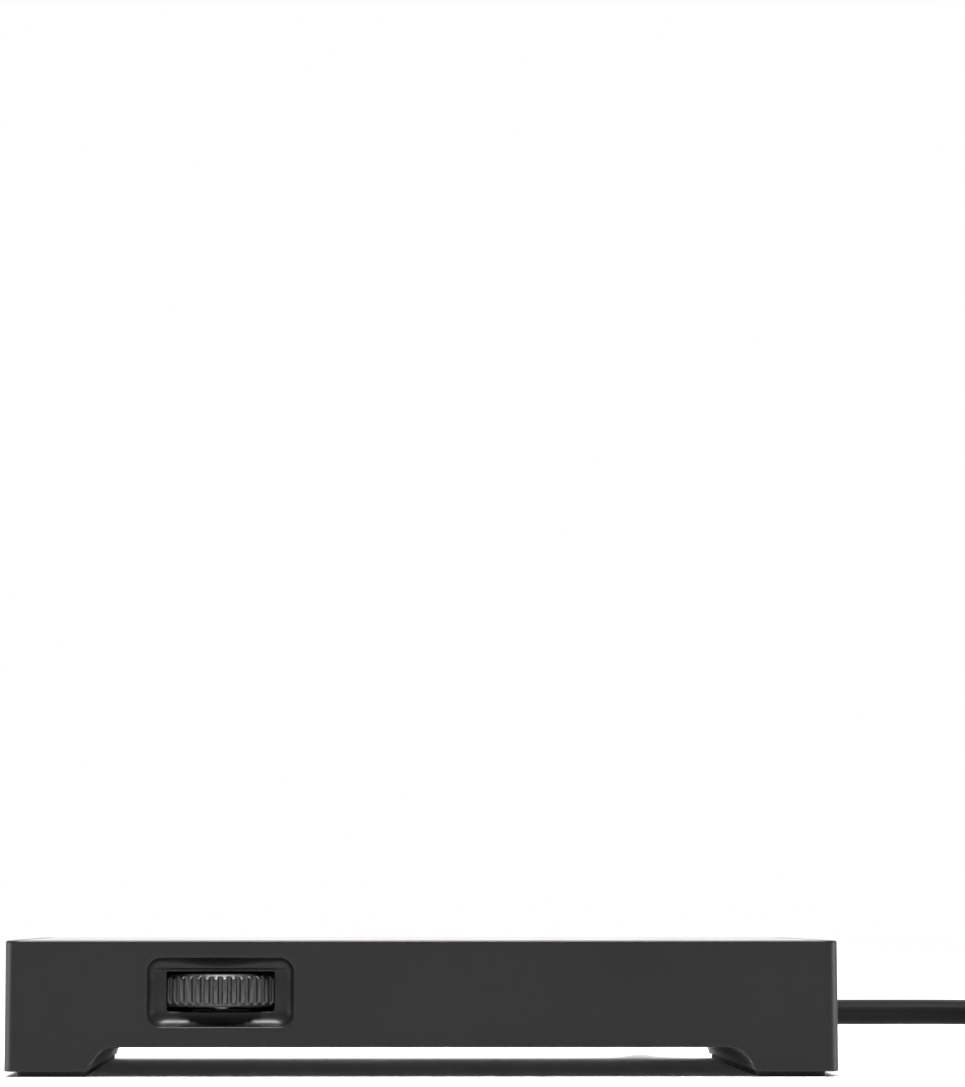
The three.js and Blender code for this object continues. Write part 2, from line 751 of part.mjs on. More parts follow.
/** The heating ribbon stands on edge and winds outwards in one flat spiral, which ends at the lead slot. */
function makeRibbon() {
  const outerRadius = collarInner - ribbonEdgeGap;
  const turns = (outerRadius - ribbonInnerRadius) / ribbonPitch;
  const steps = Math.round(turns * ribbonStepsPerTurn);
  const edge = (offset) =>
    Array.from({ length: steps + 1 }, (_, i) => {
      const angle = 2 * Math.PI * turns * (i / steps - 1);
      const r = ribbonInnerRadius + ((outerRadius - ribbonInnerRadius) * i) / steps + offset;
      return new THREE.Vector2(r * Math.cos(angle), r * Math.sin(angle));
    });
  const outline = [...edge(ribbonThickness / 2), ...edge(-ribbonThickness / 2).reverse()];
  return upright(new THREE.Shape(outline), slabTop, slabTop + ribbonHeight);
}

/** The ceramic block outside the pan, which joins the ribbon's two ends to their leads. */
function makeHeaterBlock() {
  const body = block(
    heaterBlockX, -heaterBlock.width / 2, heaterBlockBottom,
    heaterBlockX + heaterBlock.depth, heaterBlock.width / 2, heaterBlockTop,
  );
  const x = heaterBlockX + heaterBlock.depth / 2;
  const wells = row(2, heaterWell.spacing).map((y) =>
    post(x, y, heaterWell.radius, heaterBlockTop - heaterWell.depth, heaterBlockTop + past, 10),
  );
  return cut(body, ...wells);
}

/** A coil spring between the slab and the sensor. */
function makeSensorSpring(bottom, top) {
  const lowest = bottom + springWire + partGap / 2;
  const rise = top - springWire - partGap / 2 - lowest;
  const turns = Math.max(1, Math.round(rise / springPitch));
  const steps = turns * springStepsPerTurn;
  const points = Array.from({ length: steps + 1 }, (_, i) => {
    const angle = (2 * Math.PI * i) / springStepsPerTurn;
    return [springRadius * Math.cos(angle), springRadius * Math.sin(angle), lowest + (rise * i) / steps];
  });
  return tube(points, springWire, steps, 5);
}

/** A leaf spring from the floor up to the pan, drawn round the middle of its own length. */
function makeLeafSpring() {
  const rise = panBottom - floor - leafThickness - glassTouchGap;
  const line = [
    [-leafSpan / 2, 0],
    [-leafSpan / 3, 0],
    [-leafSpan / 6, rise],
    [leafSpan / 6, rise],
    [leafSpan / 3, 0],
    [leafSpan / 2, 0],
  ];
  return lengthwise(strip(line, leafThickness), -leafWidth / 2, leafWidth / 2);
}

add("heater_pan", makePan(), materials.steel);
add("heater_insulation", makeInsulation(), materials.mineralBoard);
add("heating_ribbon", makeRibbon(), materials.heatingAlloy);
add("heater_terminal_block", makeHeaterBlock(), materials.ceramic);
// A spring presses the temperature sensor up against the glass in the middle of the ribbon.
const sensorBottom = collarTop - sensorThickness;
add("sensor_spring", makeSensorSpring(slabTop, sensorBottom), materials.steel);
add("temperature_sensor", post(0, 0, sensorRadius, sensorBottom, collarTop), materials.steel);
for (let i = 0; i < leafCount; i += 1) {
  const spring = makeLeafSpring().translate(0, leafFromRim - panRadius, floor);
  add(`heater_leaf_spring_${i + 1}`, spring.rotateZ((2 * Math.PI * i) / leafCount), materials.steel);
}

// ---------------------------------------------------------------- thumbwheel and potentiometer
/** The wheel's outline: ribs with flat tops and sloping sides. */
function wheelOutline() {
  const stops = [
    [0, wheelRadius],
    [ribTopShare, wheelRadius],
    [ribTopShare + ribSlopeShare, wheelRadius - ribDepth],
    [1 - ribSlopeShare, wheelRadius - ribDepth],
  ];
  const points = [];
  for (let i = 0; i < wheelRibs; i += 1) {
    for (const [share, r] of stops) {
      const angle = ((i + share) * 2 * Math.PI) / wheelRibs;
      points.push(new THREE.Vector2(r * Math.cos(angle), r * Math.sin(angle)));
    }
  }
  return new THREE.Shape(points);
}

function makeThumbwheel() {
  const hub = shaftRadius + hubGap + wheelHubWall;
  const rim = wheelRadius - ribDepth - wheelRimWall;
  const dish = (low, high) => turned([[hub, low], [rim, low], [rim, high], [hub, high], [hub, low]], 28);
  const tools = [
    dish(wheelTop - wheelDish, wheelTop + past),
    dish(wheelBottom - past, wheelBottom + wheelDish),
    post(0, 0, shaftRadius + hubGap, wheelBottom - past, wheelTop + past, 24),
  ];
  return cut(upright(wheelOutline(), wheelBottom, wheelTop), ...tools).translate(wheelX, wheelY, 0);
}

const shaftFoot = wheelBoardTop + shaftAboveBoard;

function makePotentiometer() {
  const half = potWidth / 2;
  const body = block(wheelX - half, wheelY - half, wheelBoardTop, wheelX + half, wheelY + half, potTop);
  return cut(body, post(wheelX, wheelY, shaftRadius + shaftGap, shaftFoot - shaftGap, potTop + past, 24));
}

function makeWheelBoard() {
  const body = block(
    wheelBoardLeft, wheelBoardFront, wheelBoardBottom,
    wheelBoardRight, wheelBoardRear, wheelBoardTop,
  );
  const holes = wheelBoardPosts.map(([x, y]) =>
    screwHole(x, y, wheelBoardBottom - past, wheelBoardTop + past),
  );
  return cut(body, ...holes);
}

/** The flat cable from the wheel's board to the power board, with one step up in it. */
function makeRibbonCable() {
  const nearZ = wheelBoardBottom + (wheelBoardThickness - ribbonCableThickness) / 2;
  const near = [wheelBoardRight + partGap, nearZ];
  const far = [boardLeft - partGap, boardBottom + (boardThickness - ribbonCableThickness) / 2];
  const middle = (near[0] + far[0]) / 2;
  const line = [near, [middle - ribbonCableWidth / 2, near[1]], [middle + ribbonCableWidth / 2, far[1]], far];
  const half = ribbonCableWidth / 2;
  return lengthwise(strip(line, ribbonCableThickness), wheelY - half, wheelY + half);
}

add("thumbwheel", makeThumbwheel(), materials.wheelPlastic);
const shaftTop = wheelTop - shaftBelowWheelTop;
add("wheel_shaft", post(wheelX, wheelY, shaftRadius, shaftFoot, shaftTop, 24), materials.steel);
add("potentiometer_body", makePotentiometer(), materials.bluePlastic);
add("wheel_board", makeWheelBoard(), materials.board);
wheelBoardPosts.forEach(([x, y], i) => {
  const body = screw(x, y, wheelBoardTop, wheelBoardTop - floor - partGap);
  add(`wheel_board_screw_${i + 1}`, body, materials.steel);
});
add("signal_ribbon", makeRibbonCable(), materials.greyPlastic);

// ---------------------------------------------------------------- cooling fan
const fanScrewOffset = fanSize / 2 - fanScrewInset;
const armBottom = fanTop - fanArmThickness;

function makeFanFrame() {
  const box = upright(roundRect(fanSize / 2, fanSize / 2, fanCorner), fanBottom, fanTop);
  const bore = post(0, 0, fanBore, fanBottom - past, fanTop + past, 24);
  // The motor hangs from arms across the top.
  const arms = Array.from({ length: fanArmCount }, (_, i) =>
    block(0, -fanArmWidth / 2, armBottom, fanBore + rooted, fanArmWidth / 2, fanTop).rotateZ(
      (2 * Math.PI * i) / fanArmCount,
    ),
  );
  const motorPlate = post(0, 0, fanHubRadius, armBottom, fanTop, 20);
  const holes = row(2, 2 * fanScrewOffset).map((d) => screwHole(d, d, fanBottom - past, fanTop + past));
  return cut(join(cut(box, bore), motorPlate, ...arms), ...holes).translate(fanX, fanY, 0);
}

function makeFanRotor() {
  const bottom = fanBottom + fanTipGap;
  const top = armBottom - fanTipGap;
  const length = fanBore - fanTipGap - fanHubRadius + past;
  const blades = Array.from({ length: fanBladeCount }, (_, i) => {
    const slant = (top - bottom - fanBladeThickness) / Math.cos(fanBladeTwist);
    return new THREE.BoxGeometry(length, fanBladeThickness, slant)
      .rotateX(fanBladeTwist)
      .translate(fanHubRadius - past + length / 2, 0, (top + bottom) / 2)
      .rotateZ((2 * Math.PI * i) / fanBladeCount);
  });
  return join(post(0, 0, fanHubRadius, bottom, top, 24), ...blades).translate(fanX, fanY, 0);
}

add("fan_frame", makeFanFrame(), materials.blackPlastic);
add("fan_rotor", makeFanRotor(), materials.blackPlastic);
row(2, 2 * fanScrewOffset).forEach((d, i) => {
  add(`fan_screw_${i + 1}`, screw(fanX + d, fanY + d, fanTop, fanThickness), materials.steel);
});

// ---------------------------------------------------------------- power board
function makePowerBoard() {
  const body = block(boardLeft, boardFront, boardBottom, boardRight, boardRear, boardTop);
  return cut(body, ...boardPosts.map(([x, y]) => screwHole(x, y, boardBottom - past, boardTop + past)));
}

/** A box standing on the power board. */
function onBoard({ x, y, width, depth, height }) {
  const left = boardLeft + x;
  const near = boardFront + y;
  return block(left, near, boardTop, left + width, near + depth, boardTop + height);
}

function makeHeatsink() {
  const near = boardFront + heatsink.y + heatsink.back;
  const low = boardTop + heatsink.back / 2;
  const slots = row(heatsinkSlot.count, heatsinkSlot.pitch).map((dx) => {
    const middle = boardLeft + heatsink.x + heatsink.width / 2 + dx;
    const half = heatsinkSlot.width / 2;
    const top = boardTop + heatsink.height + past;
    return block(middle - half, near, low, middle + half, near + heatsink.depth, top);
  });
  return cut(onBoard(heatsink), ...slots);
}

function makeChoke() {
  const { radius, waist, flange, slope, height } = choke;
  const rows = [
    [0, 0],
    [radius, 0],
    [radius, flange],
    [waist, flange + slope],
    [waist, height - flange - slope],
    [radius, height - flange],
    [radius, height],
    [0, height],
  ];
  return turned(rows, 18).translate(boardLeft + choke.x, boardFront + choke.y, boardTop);
}

function makeReservoirCapacitor() {
  const { x, y, radius, height } = reservoirCapacitor;
  return post(boardLeft + x, boardFront + y, radius, boardTop, boardTop + height, 20);
}

add("power_board", makePowerBoard(), materials.board);
boardPosts.forEach(([x, y], i) => {
  add(`power_board_screw_${i + 1}`, screw(x, y, boardTop, powerBoardLift), materials.steel);
});
add("film_capacitor", onBoard(filmCapacitor), materials.yellowPlastic);
add("triac", onBoard(triac), materials.blackPlastic);
add("triac_heatsink", makeHeatsink(), materials.aluminium);
add("reservoir_capacitor", makeReservoirCapacitor(), materials.blackPlastic);
add("noise_choke", makeChoke(), materials.greyPlastic);

// ---------------------------------------------------------------- mains inlet
function makeTerminalBlock() {
  const half = terminalBlock.width / 2;
  const body = block(blockX - half, blockFront, blockBottom, blockX + half, blockRear, blockTop);
  const y = (blockFront + blockRear) / 2;
  const wells = row(3, terminalWell.spacing).map((dx) =>
    post(blockX + dx, y, terminalWell.radius, blockTop - terminalWell.depth, blockTop + past, 12),
  );
  return cut(body, ...wells);
}

/** The strain relief: a collar inside the wall, a neck through it, a flange, and a grooved taper outside. */
function makeBoot() {
  const flangeNear = halfD + partGap;
  const flangeFar = flangeNear + bootFlangeThickness;
  const rootRadius = boreRadius + bootRootWall;
  const tipRadius = boreRadius + bootTipWall;
  const rows = [
    [boreRadius, collarFront],
    [bootCollarRadius, collarFront],
    [bootCollarRadius, collarFront + bootCollarLength],
    [neckRadius, collarFront + bootCollarLength],
    [neckRadius, flangeNear],
    [rootRadius + bootCollarWall, flangeNear],
    [rootRadius + bootCollarWall, flangeFar],
    [rootRadius, flangeFar + bootGrooveDepth],
  ];
  const pitch = (bootTip - flangeFar) / (bootGrooves + 1);
  for (let i = 1; i <= bootGrooves; i += 1) {
    const y = flangeFar + pitch * i;
    const r = rootRadius + (tipRadius - rootRadius) * (i / (bootGrooves + 1));
    const half = bootGrooveWidth / 2;
    rows.push([r, y - half], [r - bootGrooveDepth, y - half / 2]);
    rows.push([r - bootGrooveDepth, y + half / 2], [r, y + half]);
  }
  rows.push([tipRadius, bootTip], [boreRadius, bootTip], [boreRadius, collarFront]);
  return aroundCord(turned(rows, 16));
}

function makeClampBar() {
  const body = block(
    cordExitX - clampWidth / 2, clampY - clampLength / 2, cordExitZ + clampSplit / 2,
    cordExitX + clampWidth / 2, clampY + clampLength / 2, clampTop,
  );
  return cut(body, ...clampTools());
}

add("mains_terminal_block", makeTerminalBlock(), materials.greyPlastic);
add("cord_strain_relief", makeBoot(), materials.blackPlastic);
add("mains_cord_inner_end", aroundCord(post(0, 0, cordRadius, cordEnd, halfD, 12)), materials.cordJacket);
add("cord_clamp_bar", makeClampBar(), materials.greyPlastic);
row(2, 2 * clampScrewX).forEach((dx, i) => {
  const geometry = screw(cordExitX + dx, clampY, clampTop, clampScrewLength);
  add(`cord_clamp_screw_${i + 1}`, geometry, materials.steel);
});

// ---------------------------------------------------------------- wires inside
/** A wire that leaves from along fromWay, passes the corners, and arrives at to against toWay. */
function wire(name, material, from, fromWay, corners, to, toWay) {
  const step = (at, way) => at.map((value, i) => value + wireStraight * way[i]);
  const points = [from, step(from, fromWay), ...corners, step(to, toWay), to];
  add(name, tube(points, wireRadius, 4 * points.length, 6), material);
}

const toFront = [0, -1, 0];
const toRear = [0, 1, 0];
const toLeft = [-1, 0, 0];
const toRight = [1, 0, 0];
const upwards = [0, 0, 1];
const laneX = tunnelHalf + laneFromTunnel;
const laneZ = legFloor + laneLift;
const blockMiddle = blockBottom + terminalBlock.height / 2;
const padY = boardRear - lanePitch;
const padZ = boardTop + wireGap;

const cores = [
  ["live_core", -1, materials.brownWire],
  ["neutral_core", 0, materials.blueWire],
  ["earth_core", 1, materials.earthWire],
];
for (const [name, side, material] of cores) {
  const from = [cordExitX + side * (cordRadius - wireRadius - wireGap), cordEnd - wireGap, cordExitZ];
  const to = [blockX + side * terminalWell.spacing, blockRear + wireGap, blockMiddle];
  wire(name, material, from, toFront, [], to, toRear);
}

// The supply wires cross level to the right leg, and run low along it from the terminals to the power board.
const supplyRunIn = supplyRunInShare * (laneX - blockX);
const supplies = [
  ["supply_wire_live", 0, materials.brownWire],
  ["supply_wire_neutral", 1, materials.blueWire],
];
for (const [name, n, material] of supplies) {
  const lane = laneX + n * lanePitch;
  const from = [blockX + n * terminalWell.spacing, blockFront - wireGap, blockMiddle];
  const corners = [
    [lane, blockFront - supplyRunIn, blockMiddle],
    [lane, blockFront - supplyRunIn - 2 * laneRunIn, laneZ],
    [lane, boardRear + 2 * laneRunIn, laneZ],
    [lane, boardRear + laneRunIn, laneZ],
    [lane, boardRear, padZ + lanePitch],
  ];
  wire(name, material, from, toFront, corners, [lane, padY, padZ], upwards);
}

// The heater's leads run above them, one under the other, from the ceramic block to the power board.
row(2, heaterWell.spacing).forEach((y, n) => {
  const x = heaterBlockX + heaterBlock.depth;
  const lane = x + lanePitch * (n + 1);
  const from = [x + wireGap, y, heaterBlockTop - lanePitch];
  const height = heaterBlockTop - (2 - n) * lanePitch;
  const padX = laneX + (n - 2) * lanePitch;
  const corners = [
    [lane, y - laneRunIn, height],
    [lane, boardRear + 2 * laneRunIn, height],
    [padX, boardRear + laneRunIn / 2, height],
  ];
  const to = [padX, padY, padZ];
  wire(`heater_lead_${n + 1}`, materials.redWire, from, toRight, corners, to, upwards);
});

// The fan's lead crosses level to the left leg, runs low along it, and crosses back to the wheel's board.
const fanLeadZ = fanBottom + lanePitch;
const wheelLeadZ = wheelBoardBottom + wheelBoardThickness / 2;
wire(
  "fan_lead",
  materials.redWire,
  [fanX - fanSize / 2 - wireGap, fanY, fanLeadZ],
  toLeft,
  [
    [-laneX, fanY - laneRunIn, fanLeadZ],
    [-laneX, fanY - 3 * laneRunIn, laneZ],
    [-laneX, wheelBoardRear + 3 * laneRunIn, laneZ],
    [-laneX, wheelBoardRear + laneRunIn, wheelLeadZ],
  ],
  [wheelBoardLeft - wireGap, wheelBoardRear - boardHoleInset, wheelLeadZ],
  toLeft,
);

// ---------------------------------------------------------------- mains cord outside
const innerTurn = turnRadius;
const outerTurn = turnRadius + turnPitch;
const coilInside = innerTurn - cordRadius;
const coilOutside = outerTurn + cordRadius;
const coilBottom = tieThickness + cordGap;
const coilTop = coilBottom + 2 * cordDiameter;

/** The outer shape of the coiled cord: two turns beside each other, in two layers. */
function makeCoil() {
  const rows = [
    [coilInside + bundleRound, coilBottom],
    [coilOutside - bundleRound, coilBottom],
    [coilOutside, coilBottom + bundleRound],
    [coilOutside, coilTop - bundleRound],
    [coilOutside - bundleRound, coilTop],
    [coilInside + bundleRound, coilTop],
    [coilInside, coilTop - bundleRound],
    [coilInside, coilBottom + bundleRound],
    [coilInside + bundleRound, coilBottom],
  ];
  return turned(rows).translate(coilX, coilY, 0);
}

/** A flat strap round the bundle. */
function makeTie() {
  const inner = Math.sqrt(coilInside ** 2 - (tieWidth / 2) ** 2) - cordGap;
  const outer = coilOutside + cordGap;
  const top = coilTop + cordGap;
  const low = [inner - tieThickness, -tieWidth / 2, 0];
  const body = block(...low, outer + tieThickness, tieWidth / 2, top + tieThickness);
  const hollow = block(inner, -tieWidth, tieThickness, outer, tieWidth, top);
  return cut(body, hollow).rotateZ(tieTurn).translate(coilX, coilY, 0);
}

add("mains_cord_lead_out", tube(leadOutRoute, cordRadius, 18, 10), materials.cordJacket);
add("mains_cord_coil", makeCoil(), materials.cordJacket);
add("cord_tie", makeTie(), materials.rubber);

// The lowest outer turn runs straight on, forwards, and rises into the plug.
const plugX = coilX + outerTurn;
const plugZ = plugHeight / 2;
const lowTurnZ = coilBottom + cordRadius;
const leadInStart = coilY - Math.sqrt(coilOutside ** 2 - (outerTurn - cordRadius) ** 2) - cordGap;
const leadInEnd = leadInStart - plugLeadLength;
const plugRear = leadInEnd - cordGap - plugTaper;
const plugFace = plugRear - plugLength;

function makeLeadIn() {
  const points = Array.from({ length: 7 }, (_, i) => {
    const share = i / 6;
    const rise = share * share * (3 - 2 * share);
    return [plugX, leadInStart - plugLeadLength * share, lowTurnZ + (plugZ - lowTurnZ) * rise];
  });
  return tube(points, cordRadius, 8, 10);
}

/** A round pin that lies along Y above the two blades. */
function earthPin(near, far, radius) {
  const z = plugZ - bladeBelowAxis + earthPinFromBlades;
  return new THREE.CylinderGeometry(radius, radius, far - near, 14).translate(plugX, (near + far) / 2, z);
}

/** A flat blade that lies along Y. */
function blade(dx, near, far, gap) {
  const halfX = bladeThickness / 2 + gap;
  const halfZ = bladeHeight / 2 + gap;
  const z = plugZ - bladeBelowAxis;
  return block(plugX + dx - halfX, near, z - halfZ, plugX + dx + halfX, far, z + halfZ);
}

function makePlugBody() {
  const section = roundRect(plugWidth / 2, plugHeight / 2, plugRound, plugX, plugZ);
  const body = lengthwise(section, plugFace, plugRear);
  const taper = new THREE.CylinderGeometry(cordRadius + bootTipWall, plugTaperRadius, plugTaper + rooted, 16)
    .translate(plugX, plugRear + (plugTaper - rooted) / 2, plugZ);
  const rootEnd = plugFace + bladeRoot + partGap;
  const sockets = row(2, bladeSpacing).map((dx) => blade(dx, plugFace - past, rootEnd, boreGap));
  return cut(join(body, taper), ...sockets, earthPin(plugFace - past, rootEnd, earthPinRadius + boreGap));
}

add("mains_cord_plug_end", makeLeadIn(), materials.cordJacket);
add("plug_body", makePlugBody(), materials.blackPlastic);
row(2, bladeSpacing).forEach((dx, i) => {
  add(`plug_blade_${i + 1}`, blade(dx, plugFace - bladeLength, plugFace + bladeRoot, 0), materials.brass);
});
const pin = earthPin(plugFace - earthPinLength, plugFace + bladeRoot, earthPinRadius);
add("plug_earth_pin", pin, materials.brass);

export default part;
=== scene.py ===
"""Slim hot plate burner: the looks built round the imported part.

Lengths inside the shape functions are millimetres; a mesh gets them in metres. Every new shape is worked out
as whole arrays: rings of points laid one after another, or a profile carried along a path.
"""

import json
import math

import bmesh
import bpy
import numpy as np
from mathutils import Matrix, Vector


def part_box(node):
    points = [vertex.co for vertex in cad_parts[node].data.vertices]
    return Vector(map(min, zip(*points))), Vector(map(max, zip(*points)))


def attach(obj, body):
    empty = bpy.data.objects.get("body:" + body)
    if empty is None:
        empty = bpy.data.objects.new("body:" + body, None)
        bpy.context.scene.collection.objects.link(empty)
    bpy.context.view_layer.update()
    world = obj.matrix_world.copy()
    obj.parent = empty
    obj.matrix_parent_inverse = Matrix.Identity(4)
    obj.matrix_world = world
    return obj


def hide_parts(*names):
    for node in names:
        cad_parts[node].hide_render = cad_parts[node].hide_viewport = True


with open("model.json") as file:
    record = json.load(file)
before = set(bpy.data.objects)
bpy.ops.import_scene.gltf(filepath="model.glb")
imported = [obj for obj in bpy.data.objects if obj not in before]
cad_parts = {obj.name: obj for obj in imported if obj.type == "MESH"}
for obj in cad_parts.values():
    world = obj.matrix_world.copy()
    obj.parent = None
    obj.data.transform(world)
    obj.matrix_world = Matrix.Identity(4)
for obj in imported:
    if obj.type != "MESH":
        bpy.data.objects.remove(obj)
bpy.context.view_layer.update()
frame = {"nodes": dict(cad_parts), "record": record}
MM = 0.001
QUARTER = math.pi / 2


def extent(node):
    """Lowest and highest corner of a CAD node, in millimetres."""
    low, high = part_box(node)
    return np.array(low) / MM, np.array(high) / MM


HOUSING_LOW, HOUSING_HIGH = extent("housing")
GLASS_LOW, GLASS_HIGH = extent("glass_top")
WHEEL_LOW, WHEEL_HIGH = extent("thumbwheel")
PLUG_LOW, PLUG_HIGH = extent("plug_body")
RELIEF_LOW, RELIEF_HIGH = extent("cord_strain_relief")

# The case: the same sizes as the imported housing
HALF = 95.0  # half of the case at the middle of its height
LIFT, TOP = float(HOUSING_LOW[2]), float(HOUSING_HIGH[2])
DRAFT = 0.28
CORNER = 2.8
WALL = 2.2
FLAT = HALF - CORNER
CORE = 85.0  # plan points nearer the middle than this keep their places as the walls draw in
TUNNEL_ARC_X, TUNNEL_HEIGHT = 69.5, 6.7
LEDGE_TOP, LEDGE_BOTTOM, LEDGE_IN = 26.6, 24.4, 89.8
POCKET, POCKET_CORNER = 93.0, 1.85
WHEEL_MIDDLE = (WHEEL_LOW + WHEEL_HIGH) / 2
WHEEL_X, WHEEL_Y, WHEEL_Z = (float(v) for v in WHEEL_MIDDLE)
SCOOP_DEPTH = 2.95
WINDOW_HALF_X, WINDOW_HALF_Z = 12.29, 4.85
MOUTH_HALF_X, MOUTH_HALF_Z, MOUTH_Z = 16.64, 7.85, 19.2


# ---------------------------------------------------------------- camera
def aim_camera():
    """A long lens just above the glass, a little left of the middle, turned slightly right and up."""
    data = bpy.data.cameras.new("camera")
    data.lens, data.sensor_width = 213.567, 36.0
    data.clip_start, data.clip_end = 0.05, 60.0
    camera = bpy.data.objects.new("camera", data)
    bpy.context.scene.collection.objects.link(camera)
    camera.location = (-0.016937, -1.56747, 0.036979)
    camera.rotation_euler = (math.radians(93.2904), 0.0, math.radians(-1.1955))
    bpy.context.scene.camera = camera


aim_camera()


# ---------------------------------------------------------------- meshes from arrays
def rounded(half_x, half_y, corner, arc=8):
    """A rectangle with round corners: each corner's centre plus the radius turned through a quarter."""
    turn = np.arange(4)[:, None] * QUARTER + np.linspace(0, QUARTER, arc + 1)
    centre_x = (half_x - corner) * np.array([1, -1, -1, 1])[:, None]
    centre_y = (half_y - corner) * np.array([1, 1, -1, -1])[:, None]
    return np.stack([centre_x + corner * np.cos(turn), centre_y + corner * np.sin(turn)], -1).reshape(-1, 2)


def eased_side(low, high, ease_low, ease_high, steps=4, hold=0.2):
    """An upright side as (inset, height): a quarter round at each end, and a narrow flat that holds each."""
    turn = np.linspace(0, QUARTER, steps + 1)
    foot = np.c_[ease_low * (1 - np.sin(turn)), low + ease_low * (1 - np.cos(turn))]
    head = np.c_[ease_high * (1 - np.cos(turn)), high - ease_high * (1 - np.sin(turn))]
    return np.vstack(
        [[ease_low + hold, low], foot, [0, low + ease_low + hold], [0, high - ease_high - hold], head,
         [ease_high + hold, high]]
    )


def eased_loop(points, ease, steps=3):
    """A closed profile with each corner replaced by a quadratic curve that starts and ends `ease` from it."""
    here = np.asarray(points, float)
    back, ahead = np.roll(here, 1, 0) - here, np.roll(here, -1, 0) - here
    reach = [v * (np.minimum(ease, np.linalg.norm(v[:, :2], axis=1) * 0.45)
                  / np.linalg.norm(v[:, :2], axis=1))[:, None] for v in (back, ahead)]
    start, end = here + reach[0], here + reach[1]
    t = np.linspace(0, 1, steps + 1)[:, None, None]
    curve = (1 - t) ** 2 * start + 2 * t * (1 - t) * here + t**2 * end
    return curve.transpose(1, 0, 2).reshape(-1, here.shape[1])


def stacked(rings, closing="capped"):
    """Rings of points laid one after another, a quad between each four neighbours.

    "capped" closes the first and the last ring with a face; "joined" joins the last ring back to the first.
    """
    rings = np.asarray(rings, float)
    count, around = rings.shape[:2]
    number = np.arange(count * around).reshape(count, around)
    if closing == "joined":
        number = np.vstack([number, number[:1]])
    low, high = number[:-1], number[1:]
    quads = np.stack([low, np.roll(low, -1, 1), np.roll(high, -1, 1), high], -1).reshape(-1, 4).tolist()
    if closing == "capped":
        quads += [number[0][::-1].tolist(), number[-1].tolist()]
    return rings.reshape(-1, 3), quads


def together(*shells):
    """Several closed shells as one list of points and one of faces, each shell's numbers moved along."""
    points, faces, shift = [], [], 0
    for shell_points, shell_faces in shells:
        points.append(shell_points)
        faces += [[i + shift for i in face] for face in shell_faces]
        shift += len(shell_points)
    return np.vstack(points), faces


def plate(half_x, half_y, corner, side, centre=(0, 0), arc=8):
    """A flat block: the round cornered outline drawn in by the side's inset at each of its heights."""
    rings = [
        np.c_[rounded(half_x - inset, half_y - inset, max(corner - inset, 0.05), arc) + centre,
              np.full(4 * (arc + 1), height)]
        for inset, height in side
    ]
    return stacked(rings)


def turned(profile, centre, around=64, axis="z", closing="joined"):
    """A profile of (radius, height) turned about an axis through the centre."""
    turn = np.linspace(0, 2 * math.pi, around, endpoint=False)
    radius, height = np.asarray(profile, float)[:, 0, None], np.asarray(profile, float)[:, 1, None]
    across, up = radius * np.cos(turn), radius * np.sin(turn)
    along = np.broadcast_to(height, across.shape)
    rings = np.stack([across, up, along] if axis == "z" else [across, along, -up], -1)
    return stacked(rings + np.asarray(centre, float), closing)


def made(name, shell, finish, nodes, body="body", sharp=35.0, along=None):
    """A piece from a shell: a mesh in metres, normals turned outwards, smooth but for edges past `sharp`."""
    points, faces = shell
    mesh = bpy.data.meshes.new(name)
    mesh.from_pydata((np.asarray(points) * MM).tolist(), [], faces)
    work = bmesh.new()
    work.from_mesh(mesh)
    bmesh.ops.recalc_face_normals(work, faces=work.faces)
    work.to_mesh(mesh)
    work.free()
    mesh.shade_smooth()
    mesh.set_sharp_from_angle(angle=math.radians(sharp))
    if along is not None:
        layer = mesh.attributes.new("run", "FLOAT", "POINT")
        layer.data.foreach_set("value", np.asarray(along, np.float32))
    mesh.materials.append(finish.material)
    piece = bpy.data.objects.new(name, mesh)
    bpy.context.scene.collection.objects.link(piece)
    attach(piece, body)
    if nodes:
        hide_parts(*nodes)
    return piece


# ---------------------------------------------------------------- shader sums
class Flow:
    """A socket's value, so that sums of values are written as sums."""

    def __init__(self, finish, socket):
        self.finish, self.socket = finish, socket

    def __add__(self, other):
        return self.finish.sum("ADD", self, other)

    def __sub__(self, other):
        return self.finish.sum("SUBTRACT", self, other)

    def __rsub__(self, other):
        return self.finish.sum("SUBTRACT", other, self)

    def __mul__(self, other):
        return self.finish.sum("MULTIPLY", self, other)

    def __truediv__(self, other):
        return self.finish.sum("DIVIDE", self, other)

    def __pow__(self, other):
        return self.finish.sum("POWER", self, other)

    __radd__, __rmul__ = __add__, __mul__


